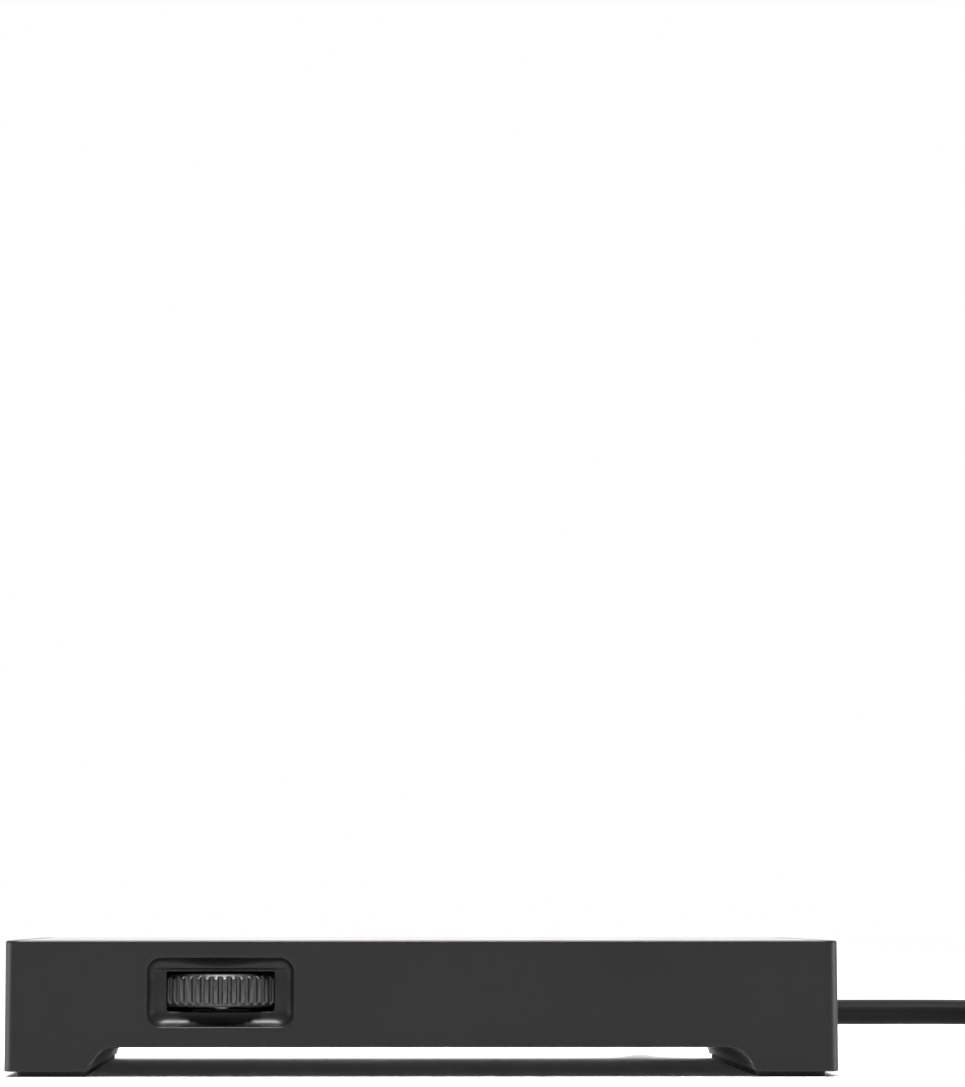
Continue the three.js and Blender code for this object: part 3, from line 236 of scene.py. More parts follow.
class Finish:
    """A material whose constant numbers sit on its shader's own sockets."""

    def __init__(self, name, **constants):
        self.material = bpy.data.materials.new(name)
        self.material.use_nodes = True
        self.tree = self.material.node_tree
        self.tree.nodes.clear()
        self.shader = self.tree.nodes.new("ShaderNodeBsdfPrincipled")
        output = self.tree.nodes.new("ShaderNodeOutputMaterial")
        self.tree.links.new(self.shader.outputs["BSDF"], output.inputs["Surface"])
        for key, value in constants.items():
            self.shader.inputs[key.replace("_", " ").title().replace("Ior", "IOR")].default_value = value
        self.place = self.node("TexCoord", out="Object")

    def node(self, kind, settings=None, sockets=None, out=0):
        """Any node: its settings first, a ramp's stops among them, then its sockets' values or links."""
        new = self.tree.nodes.new("ShaderNode" + kind)
        for key, value in (settings or {}).items():
            if key == "stops":
                for element, (position, colour) in zip(new.color_ramp.elements, value):
                    element.position, element.color = position, (*colour, 1.0)
            else:
                setattr(new, key, value)
        for key, value in (sockets or {}).items():
            self.feed(new.inputs[key], value)
        return Flow(self, new.outputs[out])

    def feed(self, socket, value):
        if isinstance(value, Flow):
            self.tree.links.new(value.socket, socket)
        else:
            socket.default_value = value

    def sum(self, operation, left, right):
        return self.node("Math", {"operation": operation}, {0: left, 1: right})

    def noise(self, size, detail=2.0, rough=0.5, place=None):
        """Noise from 0 to 1 whose patches are about `size` millimetres across."""
        return self.node("TexNoise", None, {"Vector": place or self.place, "Scale": 1 / (size * MM),
                                            "Detail": detail, "Roughness": rough}, out="Fac")

    def cells(self, size):
        """Distance to the middle of cells about `size` millimetres across."""
        return self.node("TexVoronoi", None, {"Vector": self.place, "Scale": 1 / (size * MM)}, out="Distance")

    def step(self, value, low, high, to_low=0.0, to_high=1.0):
        """The value carried from low..high to to_low..to_high with a smooth start and end."""
        return self.node("MapRange", {"interpolation_type": "SMOOTHSTEP"},
                         {"Value": value, 1: low, 2: high, 3: to_low, 4: to_high})

    def blend(self, factor, first, second):
        """From the first colour to the second by the factor."""
        return self.node("Mix", {"data_type": "RGBA"}, {0: factor, 6: first, 7: second}, out=2)

    def stretched(self, x, y, z):
        """Object coordinates scaled by one number for each direction."""
        return self.node("VectorMath", {"operation": "MULTIPLY"}, {0: self.place, 1: (x, y, z)})

    def paint(self, **flows):
        for key, value in flows.items():
            self.feed(self.shader.inputs[key.replace("_", " ").title()], value)
        return self

    def bump(self, height, depth, strength=1.0):
        """Height from 0 to 1 stands for `depth` millimetres."""
        self.paint(normal=self.node("Bump", None, {"Strength": strength, "Distance": depth * MM,
                                                   "Height": height}))
        return self


def dyed(colour, by):
    """The colour made lighter or darker by a share, with full alpha."""
    return (*(min(1.0, c * by) for c in colour), 1.0)


def grained(name, colour, roughness, grain, depth, spread=0.12, metallic=0.0, **constants):
    """A finish whose colour, roughness and fine relief all vary over the surface."""
    finish = Finish(name, metallic=metallic, **constants)
    fine, broad = finish.noise(grain, 3.0), finish.noise(grain * 40, 2.0)
    tone = finish.step(broad * 0.6 + fine * 0.4, 0.3, 0.7)
    finish.paint(
        base_color=finish.blend(tone, dyed(colour, 1 - spread), dyed(colour, 1 + spread)),
        roughness=finish.step(broad, 0.3, 0.7, roughness * 0.92, roughness * 1.08),
    )
    return finish.bump(fine, depth)


# ---------------------------------------------------------------- finishes
def powder_coat():
    """Matt dark grey coat: fine orange peel, tiny pits, and slow changes of tone."""
    finish = Finish("powder_coat", specular_ior_level=0.22)
    peel, speck, slow = finish.noise(0.55, 3.0, 0.6), finish.cells(0.28), finish.noise(30, 2.0)
    tone = finish.step(slow * 0.5 + peel * 0.3 + speck * 0.4, 0.3, 0.75)
    finish.paint(
        base_color=finish.blend(tone, (0.0045, 0.0045, 0.0046, 1), (0.0068, 0.0068, 0.007, 1)),
        roughness=finish.step(peel + slow * 0.4, 0.4, 1.0, 0.34, 0.43),
    )
    return finish.bump(peel * 0.7 + speck * 0.3, 0.018)


def glowing_glass():
    """Polished black glass ceramic, with a painted glow of the heating coil's spiral as emission on its own
    surface.
    """
    finish = Finish("glass_ceramic", ior=1.46, emission_strength=0.8)
    parts = finish.node("SeparateXYZ", None, {0: finish.place}, out="X")
    y = Flow(finish, parts.socket.node.outputs["Y"])
    radius = (parts * parts + y * y) ** 0.5
    turn = finish.sum("ARCTAN2", y, parts) * (1 / (2 * math.pi))
    phase = finish.sum("FRACT", radius * (1 / 0.0062) - turn, 0.0)
    off_line = finish.sum("ABSOLUTE", phase - 0.5, 0.0)
    line = 1 - finish.step(off_line, 0.02, 0.42)
    reach = finish.step(radius, 0.012, 0.016) * (1 - finish.step(radius, 0.055, 0.062))
    # painted glow: orange emission in a spiral over the ring zone stands for the hot coil under the glass
    painted_coil_glow = reach * (line * 0.8 + 0.2) * finish.step(finish.noise(9, 2.0), 0.2, 0.8, 0.75, 1.0)
    smudge = finish.noise(18, 3.0, 0.6)
    finish.paint(
        base_color=finish.blend(finish.noise(3, 2.0), (0.004, 0.004, 0.0045, 1), (0.0075, 0.0075, 0.008, 1)),
        roughness=finish.step(smudge, 0.45, 0.8, 0.035, 0.11),
        emission_color=finish.blend(painted_coil_glow, (0, 0, 0, 1), (0.5, 0.07, 0.007, 1)),
    )
    return finish.bump(finish.noise(40, 1.0), 0.01, 0.3)


def wheel_plastic():
    """Satin black moulding, polished a little where fingers rub it."""
    finish = Finish("wheel_moulding", specular_ior_level=0.6)
    fine, worn = finish.noise(0.25, 2.0), finish.noise(6, 2.0)
    finish.paint(
        base_color=finish.blend(worn, (0.008, 0.008, 0.0082, 1), (0.014, 0.014, 0.0143, 1)),
        roughness=finish.step(worn, 0.3, 0.7, 0.26, 0.36),
    )
    return finish.bump(fine, 0.006)


def cord_skin():
    """Round black cord: a soft gloss, faint length lines from the die, and dust that dulls it in places."""
    finish = Finish("cord_jacket", specular_ior_level=0.05)
    run = finish.node("Attribute", {"attribute_name": "run"}, out="Fac")
    ripple = finish.sum("SINE", run * (2 * math.pi / 0.009), 0.0) * 0.5 + 0.5
    fine, dust = finish.noise(0.5, 2.0), finish.noise(22, 3.0)
    finish.paint(
        base_color=finish.blend(dust, (0.006, 0.006, 0.0061, 1), (0.009, 0.009, 0.0092, 1)),
        roughness=finish.step(dust, 0.3, 0.75, 0.36, 0.48),
    )
    return finish.bump(fine * 0.8 + ripple * 0.2, 0.02)


def striped_wire():
    """Green and yellow earth wire, its stripes winding along it."""
    finish = Finish("earth_wire_stripes", roughness=0.4)
    wave = finish.node("TexWave", {"bands_direction": "DIAGONAL"},
                       {"Vector": finish.place, "Scale": 160.0, "Distortion": 0.0}, out="Fac")
    finish.paint(base_color=finish.blend(finish.step(wave, 0.45, 0.55), (0.02, 0.3, 0.05, 1),
                                         (0.75, 0.62, 0.03, 1)))
    return finish.bump(finish.noise(0.4), 0.01)


def circuit_board():
    """Green lacquered board with paler copper tracks under the lacquer."""
    finish = Finish("board_lacquer", coat_weight=0.3, coat_roughness=0.15)
    brick = finish.node("TexBrick", {"offset": 0.5},
                        {"Vector": finish.place, "Scale": 180.0, "Mortar Size": 0.04}, out="Fac")
    grain = finish.noise(0.8)
    finish.paint(
        base_color=finish.blend(brick * 0.7 + grain * 0.2, (0.012, 0.1, 0.035, 1), (0.05, 0.24, 0.09, 1)),
        roughness=finish.step(grain, 0.3, 0.7, 0.32, 0.45),
    )
    return finish.bump(brick, 0.03)


def brushed(name, colour, roughness, along=(1, 12, 12), **constants):
    """Drawn or rolled metal: fine lines that run one way, and slow stains."""
    finish = Finish(name, metallic=1.0, **constants)
    lines = finish.noise(2.0, 4.0, 0.7, finish.stretched(*along))
    stain = finish.noise(14, 3.0)
    finish.paint(
        base_color=finish.blend(stain, dyed(colour, 0.85), dyed(colour, 1.08)),
        roughness=finish.step(lines * 0.6 + stain * 0.4, 0.3, 0.7, roughness * 0.8, roughness * 1.2),
    )
    return finish.bump(lines, 0.008)


def ribbon_painted_glow():
    """Corrugated heating alloy with a painted dull orange glow (emission), brighter in random patches."""
    finish = Finish("ribbon_painted_glow", metallic=0.7, roughness=0.55, emission_strength=1.6)
    patch = finish.noise(7, 2.0)
    finish.paint(
        base_color=finish.blend(patch, (0.16, 0.12, 0.1, 1), (0.26, 0.2, 0.17, 1)),
        # painted glow: orange emission that varies in random patches, standing for a hot ribbon
        emission_color=finish.blend(finish.step(patch, 0.3, 0.7), (0.5, 0.06, 0.006, 1), (0.9, 0.2, 0.03, 1)),
    )
    return finish.bump(finish.noise(0.8), 0.02)


def mineral_board():
    """Pressed pale insulation with fibres and small pits."""
    finish = Finish("mineral_board", roughness=0.95)
    fibre, pit = finish.noise(1.2, 5.0, 0.7, finish.stretched(1, 4, 2)), finish.cells(1.6)
    finish.paint(base_color=finish.blend(fibre, (0.5, 0.47, 0.42, 1), (0.72, 0.7, 0.65, 1)))
    return finish.bump(fibre * 0.6 + pit * 0.4, 0.12)


COAT, GLASS, WHEEL, JACKET = powder_coat(), glowing_glass(), wheel_plastic(), cord_skin()
BLACK = grained("black_moulding", (0.014, 0.014, 0.0145), 0.42, 0.4, 0.012)
RUBBER = grained("foot_rubber", (0.012, 0.012, 0.012), 0.78, 0.6, 0.03)
BLADE = brushed("blade_plating", (0.72, 0.7, 0.66), 0.24, (12, 1, 12))
FINISHES = {
    "case_paint": COAT,
    "black_glass": GLASS,
    "silicone": grained("silicone_seal", (0.02, 0.02, 0.021), 0.6, 0.5, 0.01),
    "base_steel": grained("base_sheet_coat", (0.2, 0.2, 0.204), 0.5, 0.6, 0.015, 0.08),
    "foot_rubber": RUBBER,
    "steel": brushed("zinc_plating", (0.55, 0.55, 0.56), 0.3),
    "mineral_board": mineral_board(),
    "heating_alloy": ribbon_painted_glow(),
    "ceramic": grained("steatite", (0.72, 0.69, 0.62), 0.5, 0.5, 0.02, 0.05),
    "wheel_plastic": WHEEL,
    "black_plastic": BLACK,
    "circuit_board": circuit_board(),
    "cord_jacket": JACKET,
    "brass": brushed("brass", (0.72, 0.52, 0.22), 0.3),
    "aluminium": brushed("aluminium", (0.78, 0.78, 0.79), 0.34, (1, 1, 12)),
    # painted shade: this blue is darkened to near black so the part seen below the wheel in the window reads
    # as shade
    "blue_plastic": grained("blue_plastic_painted_shade", (0.004, 0.01, 0.03), 0.5, 0.6, 0.01),
    "yellow_plastic": grained("yellow_case", (0.7, 0.42, 0.03), 0.4, 0.5, 0.01),
    "grey_plastic": grained("grey_sleeve", (0.28, 0.29, 0.3), 0.45, 0.4, 0.01),
    "brown_wire": grained("brown_wire", (0.1, 0.035, 0.014), 0.4, 0.4, 0.01),
    "blue_wire": grained("blue_wire", (0.015, 0.08, 0.42), 0.4, 0.4, 0.01),
    "earth_wire": striped_wire(),
    "red_wire": grained("red_wire", (0.45, 0.02, 0.015), 0.4, 0.4, 0.01),
}


# ---------------------------------------------------------------- cord, coil, tie and plug
CORD_RADIUS = 3.3
CORD_EXIT = (58.0, 95.0, 14.3)
LEAD_OUT = np.array([
    [58, 95.4, 14.3], [58, 104, 14.3], [58, 113, 14.3], [58, 121.3, 14.4], [58.2, 126, 14.2],
    [60.2, 133, 13.4], [64.8, 140, 12.5], [72, 146.5, 11.7], [81, 151.8, 11.2], [91, 155.4, 11],
    [102, 157.5, 10.9], [114, 158.5, 10.9], [127, 158.77, 10.9], [140, 158.77, 10.9],
    [153, 158.77, 10.8], [166, 158.77, 10.8], [178, 158.77, 10.8],
])
COIL_CENTRE = np.array([190.0, 119.0])
OUTER, INNER = 39.77, 33.0
LOW, LAYER = 3.35, 2 * CORD_RADIUS
TIE_LIFT = 0.85  # how far the tie lifts the strands from the floor
TIE_TURN = 208.6  # degrees round the coil from where the cord comes onto it
LAST_TURN = 1170.0


def eased_step(value, start, end):
    """0 before start, 1 after end, and three squares less two cubes between."""
    t = np.clip((value - start) / (end - start), 0, 1)
    return t * t * (3 - 2 * t)


def coil_line():
    """The coil's centreline as (turn in degrees, radius, height).

    On top it runs round the outside and shifts in; it drops to the inner turn below, shifts out and goes
    round the outside again. It lifts where it starts, and again at the tie.
    """
    turn = np.arange(0.0, LAST_TURN + 1, 7.5)
    radius = (OUTER - (OUTER - INNER) * eased_step(turn, 265, 360)
              + (OUTER - INNER) * eased_step(turn, 800, 895))
    near_tie = np.abs((turn - TIE_TURN + 180) % 360 - 180)
    height = (LOW + LAYER * (1 - eased_step(turn, 478, 553))
              + TIE_LIFT * (1 - eased_step(turn, 0, 50)) + TIE_LIFT * (1 - eased_step(near_tie, 9, 40)))
    angle = np.radians(90 - turn)
    return np.c_[COIL_CENTRE + radius[:, None] * np.c_[np.cos(angle), np.sin(angle)], height]


def lead_in():
    """From the coil to the plug: straight, rising from the table to the plug's axis."""
    y = np.linspace(112, PLUG_HIGH[1] - 1.2, 9)
    plug_z = (PLUG_LOW[2] + PLUG_HIGH[2]) / 2
    height = LOW + (plug_z - LOW) * eased_step(-y, -96, -60)
    return np.c_[np.full(9, COIL_CENTRE[0] + OUTER), y, height]


def through(points, each=6):
    """A smooth curve through the points: cubics whose slope at each is the mean of the two beside it."""
    padded = np.vstack([2 * points[:1] - points[1:2], points, 2 * points[-1:] - points[-2:-1]])
    a, b, c, d = padded[:-3], padded[1:-2], padded[2:-1], padded[3:]
    t = np.linspace(0, 1, each, endpoint=False)[:, None, None]
    curve = 0.5 * (2 * b + (c - a) * t + (2 * a - 5 * b + 4 * c - d) * t**2 + (3 * b - a - 3 * c + d) * t**3)
    return np.vstack([curve.transpose(1, 0, 2).reshape(-1, 3), points[-1:]])


def tube(path, radius, around=20):
    """A circle carried along the path, kept square to it and level across."""
    ahead = np.gradient(path, axis=0)
    ahead /= np.linalg.norm(ahead, axis=1)[:, None]
    across = np.cross(ahead, [0, 0, 1])
    across /= np.linalg.norm(across, axis=1)[:, None]
    up = np.cross(across, ahead)
    turn = np.linspace(0, 2 * math.pi, around, endpoint=False)[None, :, None]
    return stacked(path[:, None] + radius * (np.cos(turn) * across[:, None] + np.sin(turn) * up[:, None]))


def make_cord():
    """The free cord: out of the strain relief, along to the coil, round it, and into the plug."""
    path = through(np.vstack([LEAD_OUT, coil_line(), lead_in()]), 3)
    steps = np.linalg.norm(np.diff(path, axis=0), axis=1)
    run = np.concatenate([[0], np.cumsum(steps)])
    around = 20
    cord = made("mains_cord", tube(path, CORD_RADIUS, around), JACKET,
                ["mains_cord_lead_out", "mains_cord_coil", "mains_cord_plug_end"],
                along=np.repeat(run * MM, around))
    return cord


def make_strain_relief():
    """A tapered sleeve with a flange outside the wall, a collar inside it, and four ring grooves."""
    x, z = CORD_EXIT[0], CORD_EXIT[2]
    tip, flange_far, root_radius, tip_radius = float(RELIEF_HIGH[1]), 97.1, 5.75, 4.45
    share = np.arange(1, 5) / 5
    middle = flange_far + (tip - flange_far) * share
    radius = root_radius + (tip_radius - root_radius) * share
    groove = np.stack([
        np.c_[radius, middle - 0.8], np.c_[radius - 0.6, middle - 0.4],
        np.c_[radius - 0.6, middle + 0.4], np.c_[radius, middle + 0.8],
    ], 1).reshape(-1, 2)
    profile = np.vstack([
        [[3.45, float(RELIEF_LOW[1])], [6.2, float(RELIEF_LOW[1])], [6.2, 92.5], [4.7, 92.5], [4.7, 95.3],
         [7.25, 95.3], [7.25, flange_far], [root_radius, flange_far + 0.6]],
        groove, [[tip_radius, tip], [3.45, tip]],
    ])
    return made("cord_strain_relief_sleeve", turned(eased_loop(profile, 0.4), (x, 0, z), 48, "y"), BLACK,
                ["cord_strain_relief"])


def make_tie():
    """A strap round the three strands: each way out, the furthest strand's centre plus the radius."""
    lift = LOW + TIE_LIFT
    strands = np.array([[INNER, lift], [OUTER, lift], [OUTER, lift + LAYER]])
    turn = np.linspace(0, 2 * math.pi, 72, endpoint=False)
    facing = np.c_[np.cos(turn), np.sin(turn)]
    furthest = strands[np.argmax(facing @ strands.T, axis=1)]
    inside, outside = CORD_RADIUS + 0.08, CORD_RADIUS + 0.65
    half = math.degrees(5.5 / 36.4)
    angle = np.radians(90 - TIE_TURN) + np.radians(np.linspace(-half, half, 9))
    drawn = np.concatenate([[0.22], np.zeros(7), [0.22]])
    rings = [furthest + facing * (outside - d) for d in drawn]
    rings += [furthest + facing * (inside + d) for d in drawn[::-1]]
    swing = np.concatenate([angle, angle[::-1]])
    placed = [
        np.c_[COIL_CENTRE + ring[:, :1] * (math.cos(a), math.sin(a)), ring[:, 1]]
        for ring, a in zip(rings, swing)
    ]
    return made("cord_tie_strap", stacked(placed, "joined"), BLACK, ["cord_tie"], sharp=50)


def make_plug():
    """The moulded plug: a round cornered section carried along its axis, ridged, tapering to the cord."""
    y0, y1 = float(PLUG_LOW[1]), float(PLUG_HIGH[1])
    x, z = COIL_CENTRE[0] + OUTER, float(PLUG_LOW[2] + PLUG_HIGH[2]) / 2
    half_x, half_z = float(PLUG_HIGH[0] - PLUG_LOW[0]) / 2, float(PLUG_HIGH[2] - PLUG_LOW[2]) / 2
    face = [(0, 1.4), (0, 1.1), (0.32, 0.33), (1.1, 0.02), (1.5, 0)]
    ridge_y = np.linspace(8.5, 24.5, 33)
    ridges = [(y, 0.45 * (0.5 - 0.5 * math.cos((y - 8.5) / 3.2 * 2 * math.pi))) for y in ridge_y.tolist()]
    body = [(y, half_x - d, half_z - d, 6 - d * 0.5) for y, d in face + [(7.5, 0)] + ridges + [(25.5, 0)]]
    shoulder = [(27.5, 13.2, 11.7, 6.0), (29.4, 12.2, 10.8, 6.1), (30.9, 10.6, 9.6, 6.4),
                (31.7, 8.9, 8.5, 6.8), (32.0, 7.6, 7.6, 7.0), (32.3, 7.1, 7.1, 7.05), (33.2, 6.95, 6.95, 6.9)]
    taper = [(34.0 + t * (y1 - y0 - 34.4), 6.9 - 2.5 * t, 6.9 - 2.5 * t, 6.85 - 2.5 * t)
             for t in np.linspace(0, 1, 9)]
    tip = [(y1 - y0, 4.1, 4.1, 4.05)]
    rings = []
    for y, hx, hz, corner in body + shoulder + taper + tip:
        ring = rounded(hx, hz, min(corner, hx - 0.02, hz - 0.02))
        rings.append(np.c_[x + ring[:, 0], np.full(len(ring), y0 + y), z + ring[:, 1]])
    return made("plug_moulding", stacked(rings), BLACK, ["plug_body"], sharp=40)


def make_blade(number):
    """A flat contact: its long outline drawn in at both faces, with the tip's corners rounded."""
    low, high = extent(f"plug_blade_{number}")
    middle, half = (low + high) / 2, (high - low) / 2
    side = eased_side(-half[0], half[0], 0.3, 0.3, 3, 0.1)
    rings = []
    for inset, across in side:
        ring = rounded(half[1] - inset, half[2] - inset, 1.1 - inset)
        rings.append(np.c_[np.full(len(ring), middle[0] + across), np.asarray(middle[1:3]) + ring[:, :2]])
    return made(f"plug_contact_{number}", stacked(rings), BLADE, [f"plug_blade_{number}"])


def make_earth_pin():
    """A round pin with a domed tip, turned about its own axis."""
    low, high = extent("plug_earth_pin")
    radius = float(high[0] - low[0]) / 2
    turn = np.linspace(0.06, QUARTER, 8)
    dome = np.c_[radius * np.sin(turn), low[1] + radius * (1 - np.cos(turn))]
    profile = np.vstack([dome, [radius, low[1] + radius + 0.3], [radius, high[1]]])
    middle = (low + high) / 2
    return made("plug_ground_pin", turned(profile, (middle[0], 0, middle[2]), 32, "y", "capped"), BLADE,
                ["plug_earth_pin"])


relief, tie, plug = make_strain_relief(), make_tie(), make_plug()
contacts = [make_blade(1), make_blade(2), make_earth_pin()]
make_cord()


# ---------------------------------------------------------------- case
def case_half(height):
    """Half of the case at a height: the walls lean in by the draft from bottom to top."""
    return HALF - DRAFT * (height - (LIFT + TOP) / 2) / (TOP - LIFT)


ARC = np.linspace(math.asin(LIFT / TUNNEL_HEIGHT), QUARTER, 13)
ARC_X = TUNNEL_ARC_X + TUNNEL_HEIGHT * np.cos(ARC)
SCOOP_CELL = np.linspace(WHEEL_X - 18.6, WHEEL_X + 18.6, 25)
CORD_CELL = np.linspace(CORD_EXIT[0] + 6, CORD_EXIT[0] - 6, 13)
VENT_PITCH, VENT_COUNT, VENT_MIDDLE, VENT_Z = 4.6, 13, -8.0, 15.7
VENT_CELLS = VENT_MIDDLE + VENT_PITCH * np.linspace(VENT_COUNT / 2, -VENT_COUNT / 2, 6 * VENT_COUNT + 1)
CELL_ROWS = 12


def stations():
    """Places round the case: the point the corner radius is laid off from, and the direction outwards."""
    leg = np.concatenate([[FLAT, FLAT - 0.4, CORE, 78.5], ARC_X, [66.8]])
    front = np.concatenate([-leg, SCOOP_CELL, [-20, -8, 8, 24, 40, 55], leg[::-1]])
    rear = np.concatenate([leg, CORD_CELL, [44, 34, 27], VENT_CELLS, [-46, -56], -leg[::-1]])
    side = np.concatenate([[-FLAT, -FLAT + 0.4, -CORE], np.linspace(-70, 70, 9), [CORE, FLAT - 0.4, FLAT]])
    turn = np.linspace(0, QUARTER, 9)[1:-1]
    base, out = [], []
    for points, start in (
        (np.c_[front, np.full_like(front, -FLAT)], -QUARTER), (np.c_[np.full_like(side, FLAT), side], 0.0),
        (np.c_[rear, np.full_like(rear, FLAT)], QUARTER), (np.c_[np.full_like(side, -FLAT), -side], math.pi),
    ):
        base += [points, np.repeat(points[-1:], len(turn), 0)]
        angle = np.concatenate([np.full(len(points), start), start + turn])
        out.append(np.c_[np.cos(angle), np.sin(angle)])
    return np.vstack(base), np.vstack(out)


BASE, OUT = stations()


def lower_edge():
    """The walls' lower edge at each station, and the direction into the wall from it (along x, up)."""
    x = np.abs(BASE[:, 0])
    over_tunnel = (x < ARC_X[0] + 1e-6) & (np.abs(OUT[:, 1]) > 0.999)
    arch = np.sqrt(np.maximum(TUNNEL_HEIGHT**2 - np.maximum(x - TUNNEL_ARC_X, 0) ** 2, 0))
    height = np.where(over_tunnel, arch, LIFT)
    on_arc = over_tunnel & (x > TUNNEL_ARC_X)
    along = np.where(on_arc, np.sign(BASE[:, 0]) * (x - TUNNEL_ARC_X) / TUNNEL_HEIGHT, 0.0)
    up = np.where(on_arc, arch / TUNNEL_HEIGHT, 1.0)
    at_foot = over_tunnel & (np.abs(x - ARC_X[0]) < 1e-6)
    along = np.where(at_foot, np.sign(BASE[:, 0]) * 0.83, along)
    return height, along, np.where(at_foot, 1.0, up)


def ring_at(half, corner, height, slide=0.0):
    """The plan at one level: base points drawn in with the walls, then the corner radius laid off."""
    centre = np.broadcast_to(half - corner, len(BASE))[:, None]
    reach = np.abs(BASE)
    drawn = np.where(reach > CORE, CORE + (reach - CORE) * (centre - CORE) / (FLAT - CORE), reach)
    corner = np.broadcast_to(corner, len(BASE))[:, None]
    flat = np.sign(BASE) * drawn + corner * OUT
    flat[:, 0] += slide
    return np.c_[flat, np.broadcast_to(height, len(BASE))]


def case_rows():
    """Levels from the lower edge up the outside, over the rim, down to the ledge, and down the inside.

    Returns the rings and the row numbers, from low to high, that bound the openings outside and inside.
    """
    edge, along, up = lower_edge()
    back = (BASE[:, 1] + FLAT) / (2 * FLAT)
    rings = []

    def outside(height, inset=0.0, slide=0.0):
        rings.append(ring_at(case_half(height) - inset, CORNER - inset, height, slide))

    turn = np.linspace(0, QUARTER, 4)
    for inset, lift in np.c_[0.3 * (1 - np.sin(turn)), 0.3 * (1 - np.cos(turn))]:
        outside(edge + lift * up, inset, lift * along)
    outside(edge + 0.45 * up, 0.0, 0.45 * along)
    low, high = 10.75 + (9.1 - 10.75) * back, 27.65 + (21.1 - 27.65) * back
    for share in (1 / 3, 2 / 3):
        outside(edge + 0.45 * up + (low - edge - 0.45 * up) * share, 0.0, 0.45 * along * (1 - share))
    first_out = len(rings)
    for share in np.linspace(0, 1, CELL_ROWS + 1):
        outside(low + (high - low) * share)
    outside(TOP - 0.7)
    turn = np.linspace(0, QUARTER, 5)
    for inset, drop in np.c_[0.5 * (1 - np.cos(turn)), 0.5 * (1 - np.sin(turn))]:
        outside(TOP - drop, inset)
    outside(TOP, 0.65)
    for half, drop in [(0.4, 0), (0.25, 0), (0.12, 0.035), (0.035, 0.12), (0, 0.25), (0, 0.4),
                       (0, TOP - LEDGE_TOP)]:
        rings.append(ring_at(POCKET + half, POCKET_CORNER + half, TOP - drop))
    inner = HALF - WALL
    rings.append(ring_at(LEDGE_IN, 0.6, LEDGE_TOP))
    rings.append(ring_at(LEDGE_IN, 0.6, LEDGE_BOTTOM))
    rings.append(ring_at(inner, 0.6, LEDGE_BOTTOM))
    low_in, high_in = 9.2 + (9.1 - 9.2) * back, 24.2 + (21.1 - 24.2) * back
    first_in = len(rings)
    for share in np.linspace(1, 0, CELL_ROWS + 1):
        rings.append(ring_at(inner, 0.6, low_in + (high_in - low_in) * share))
    for share in (2 / 3, 1 / 3, 0):
        rings.append(ring_at(inner, 0.6, edge + 0.2 * up + (low_in - edge - 0.2 * up) * share,
                             0.2 * along * (1 - share)))
    rings.append(ring_at(inner, 0.6, edge, 0.0))
    rows_out = np.arange(first_out, first_out + CELL_ROWS + 1)
    rows_in = np.arange(first_in, first_in + CELL_ROWS + 1)[::-1]
    return np.array(rings), rows_out, rows_in


def opening_outline(half_x, half_z, corner, across, up, arc):
    """Points round an opening from its lower left: each side takes half of the arc at each of its ends."""

    def side(long_half, far, count):
        turn = np.linspace(-QUARTER / 2, 0, arc + 1)
        run_in = np.c_[-(long_half - corner) + corner * np.sin(turn), far - corner + corner * np.cos(turn)]
        straight = np.linspace(-(long_half - corner), long_half - corner, count - 2 * arc + 1)[1:-1]
        run_out = run_in[::-1] * [-1, 1]
        middle = np.c_[straight, np.full(len(straight), far)]
        joined = [run_in, middle, run_out] if count > 2 * arc else [run_in, run_out[1:]]
        return np.vstack(joined)[:-1]

    low, right = side(half_x, half_z, across), side(half_z, half_x, up)
    return np.vstack([low * [1, -1], right[:, ::-1], low * [-1, 1], -right[:, ::-1]])


def scoop_rings(across):
    """The finger scoop: a fillet at its mouth, a quarter ellipse in to the window, and the window's edge."""
    turn = np.linspace(0, QUARTER, 5)
    rings = [(MOUTH_HALF_X + 0.45, MOUTH_HALF_Z + 0.45, MOUTH_Z, 3.6, 0.0)]
    rings += [(MOUTH_HALF_X + o, MOUTH_HALF_Z + o, MOUTH_Z, 3.2 + o, d)
              for o, d in np.c_[0.3 * (1 - np.sin(turn)), 0.3 * (1 - np.cos(turn))]]
    edge = 0.2
    for angle in np.linspace(math.asin(0.3 / SCOOP_DEPTH), QUARTER, 15)[1:]:
        close = 1 - math.cos(angle)
        rings.append((
            MOUTH_HALF_X + close * (WINDOW_HALF_X + edge - MOUTH_HALF_X),
            MOUTH_HALF_Z + close * (WINDOW_HALF_Z + edge - MOUTH_HALF_Z),
            MOUTH_Z + close * (WHEEL_Z - MOUTH_Z), 3.2 - 2.0 * close, SCOOP_DEPTH * math.sin(angle),
        ))
    for o, d in np.c_[edge * (1 - np.sin(turn)), edge * (1 - np.cos(turn))][1:]:
        rings.append((WINDOW_HALF_X + o, WINDOW_HALF_Z + o, WHEEL_Z, 1.0 + o, SCOOP_DEPTH + d))
    behind = SCOOP_DEPTH + 1.9
    rings.append((WINDOW_HALF_X, WINDOW_HALF_Z, WHEEL_Z, 1.0, SCOOP_DEPTH + 0.4))
    rings.append((13.9, WINDOW_HALF_Z, WHEEL_Z, 1.0, behind))
    rings.append((18.5, 7.25, 16.75, 0.8, behind))
    rings.append((18.5, 7.25, 16.75, 0.8, WALL))
    placed = []
    for half_x, half_z, middle, corner, depth in rings:
        flat = opening_outline(half_x, half_z, corner, across, CELL_ROWS, 4)
        height = middle + flat[:, 1]
        share = min(1.0, depth / SCOOP_DEPTH)
        face = case_half(height) * (1 - share) + HALF * share
        placed.append(np.c_[WHEEL_X + flat[:, 0], -face + depth, height])
    return placed


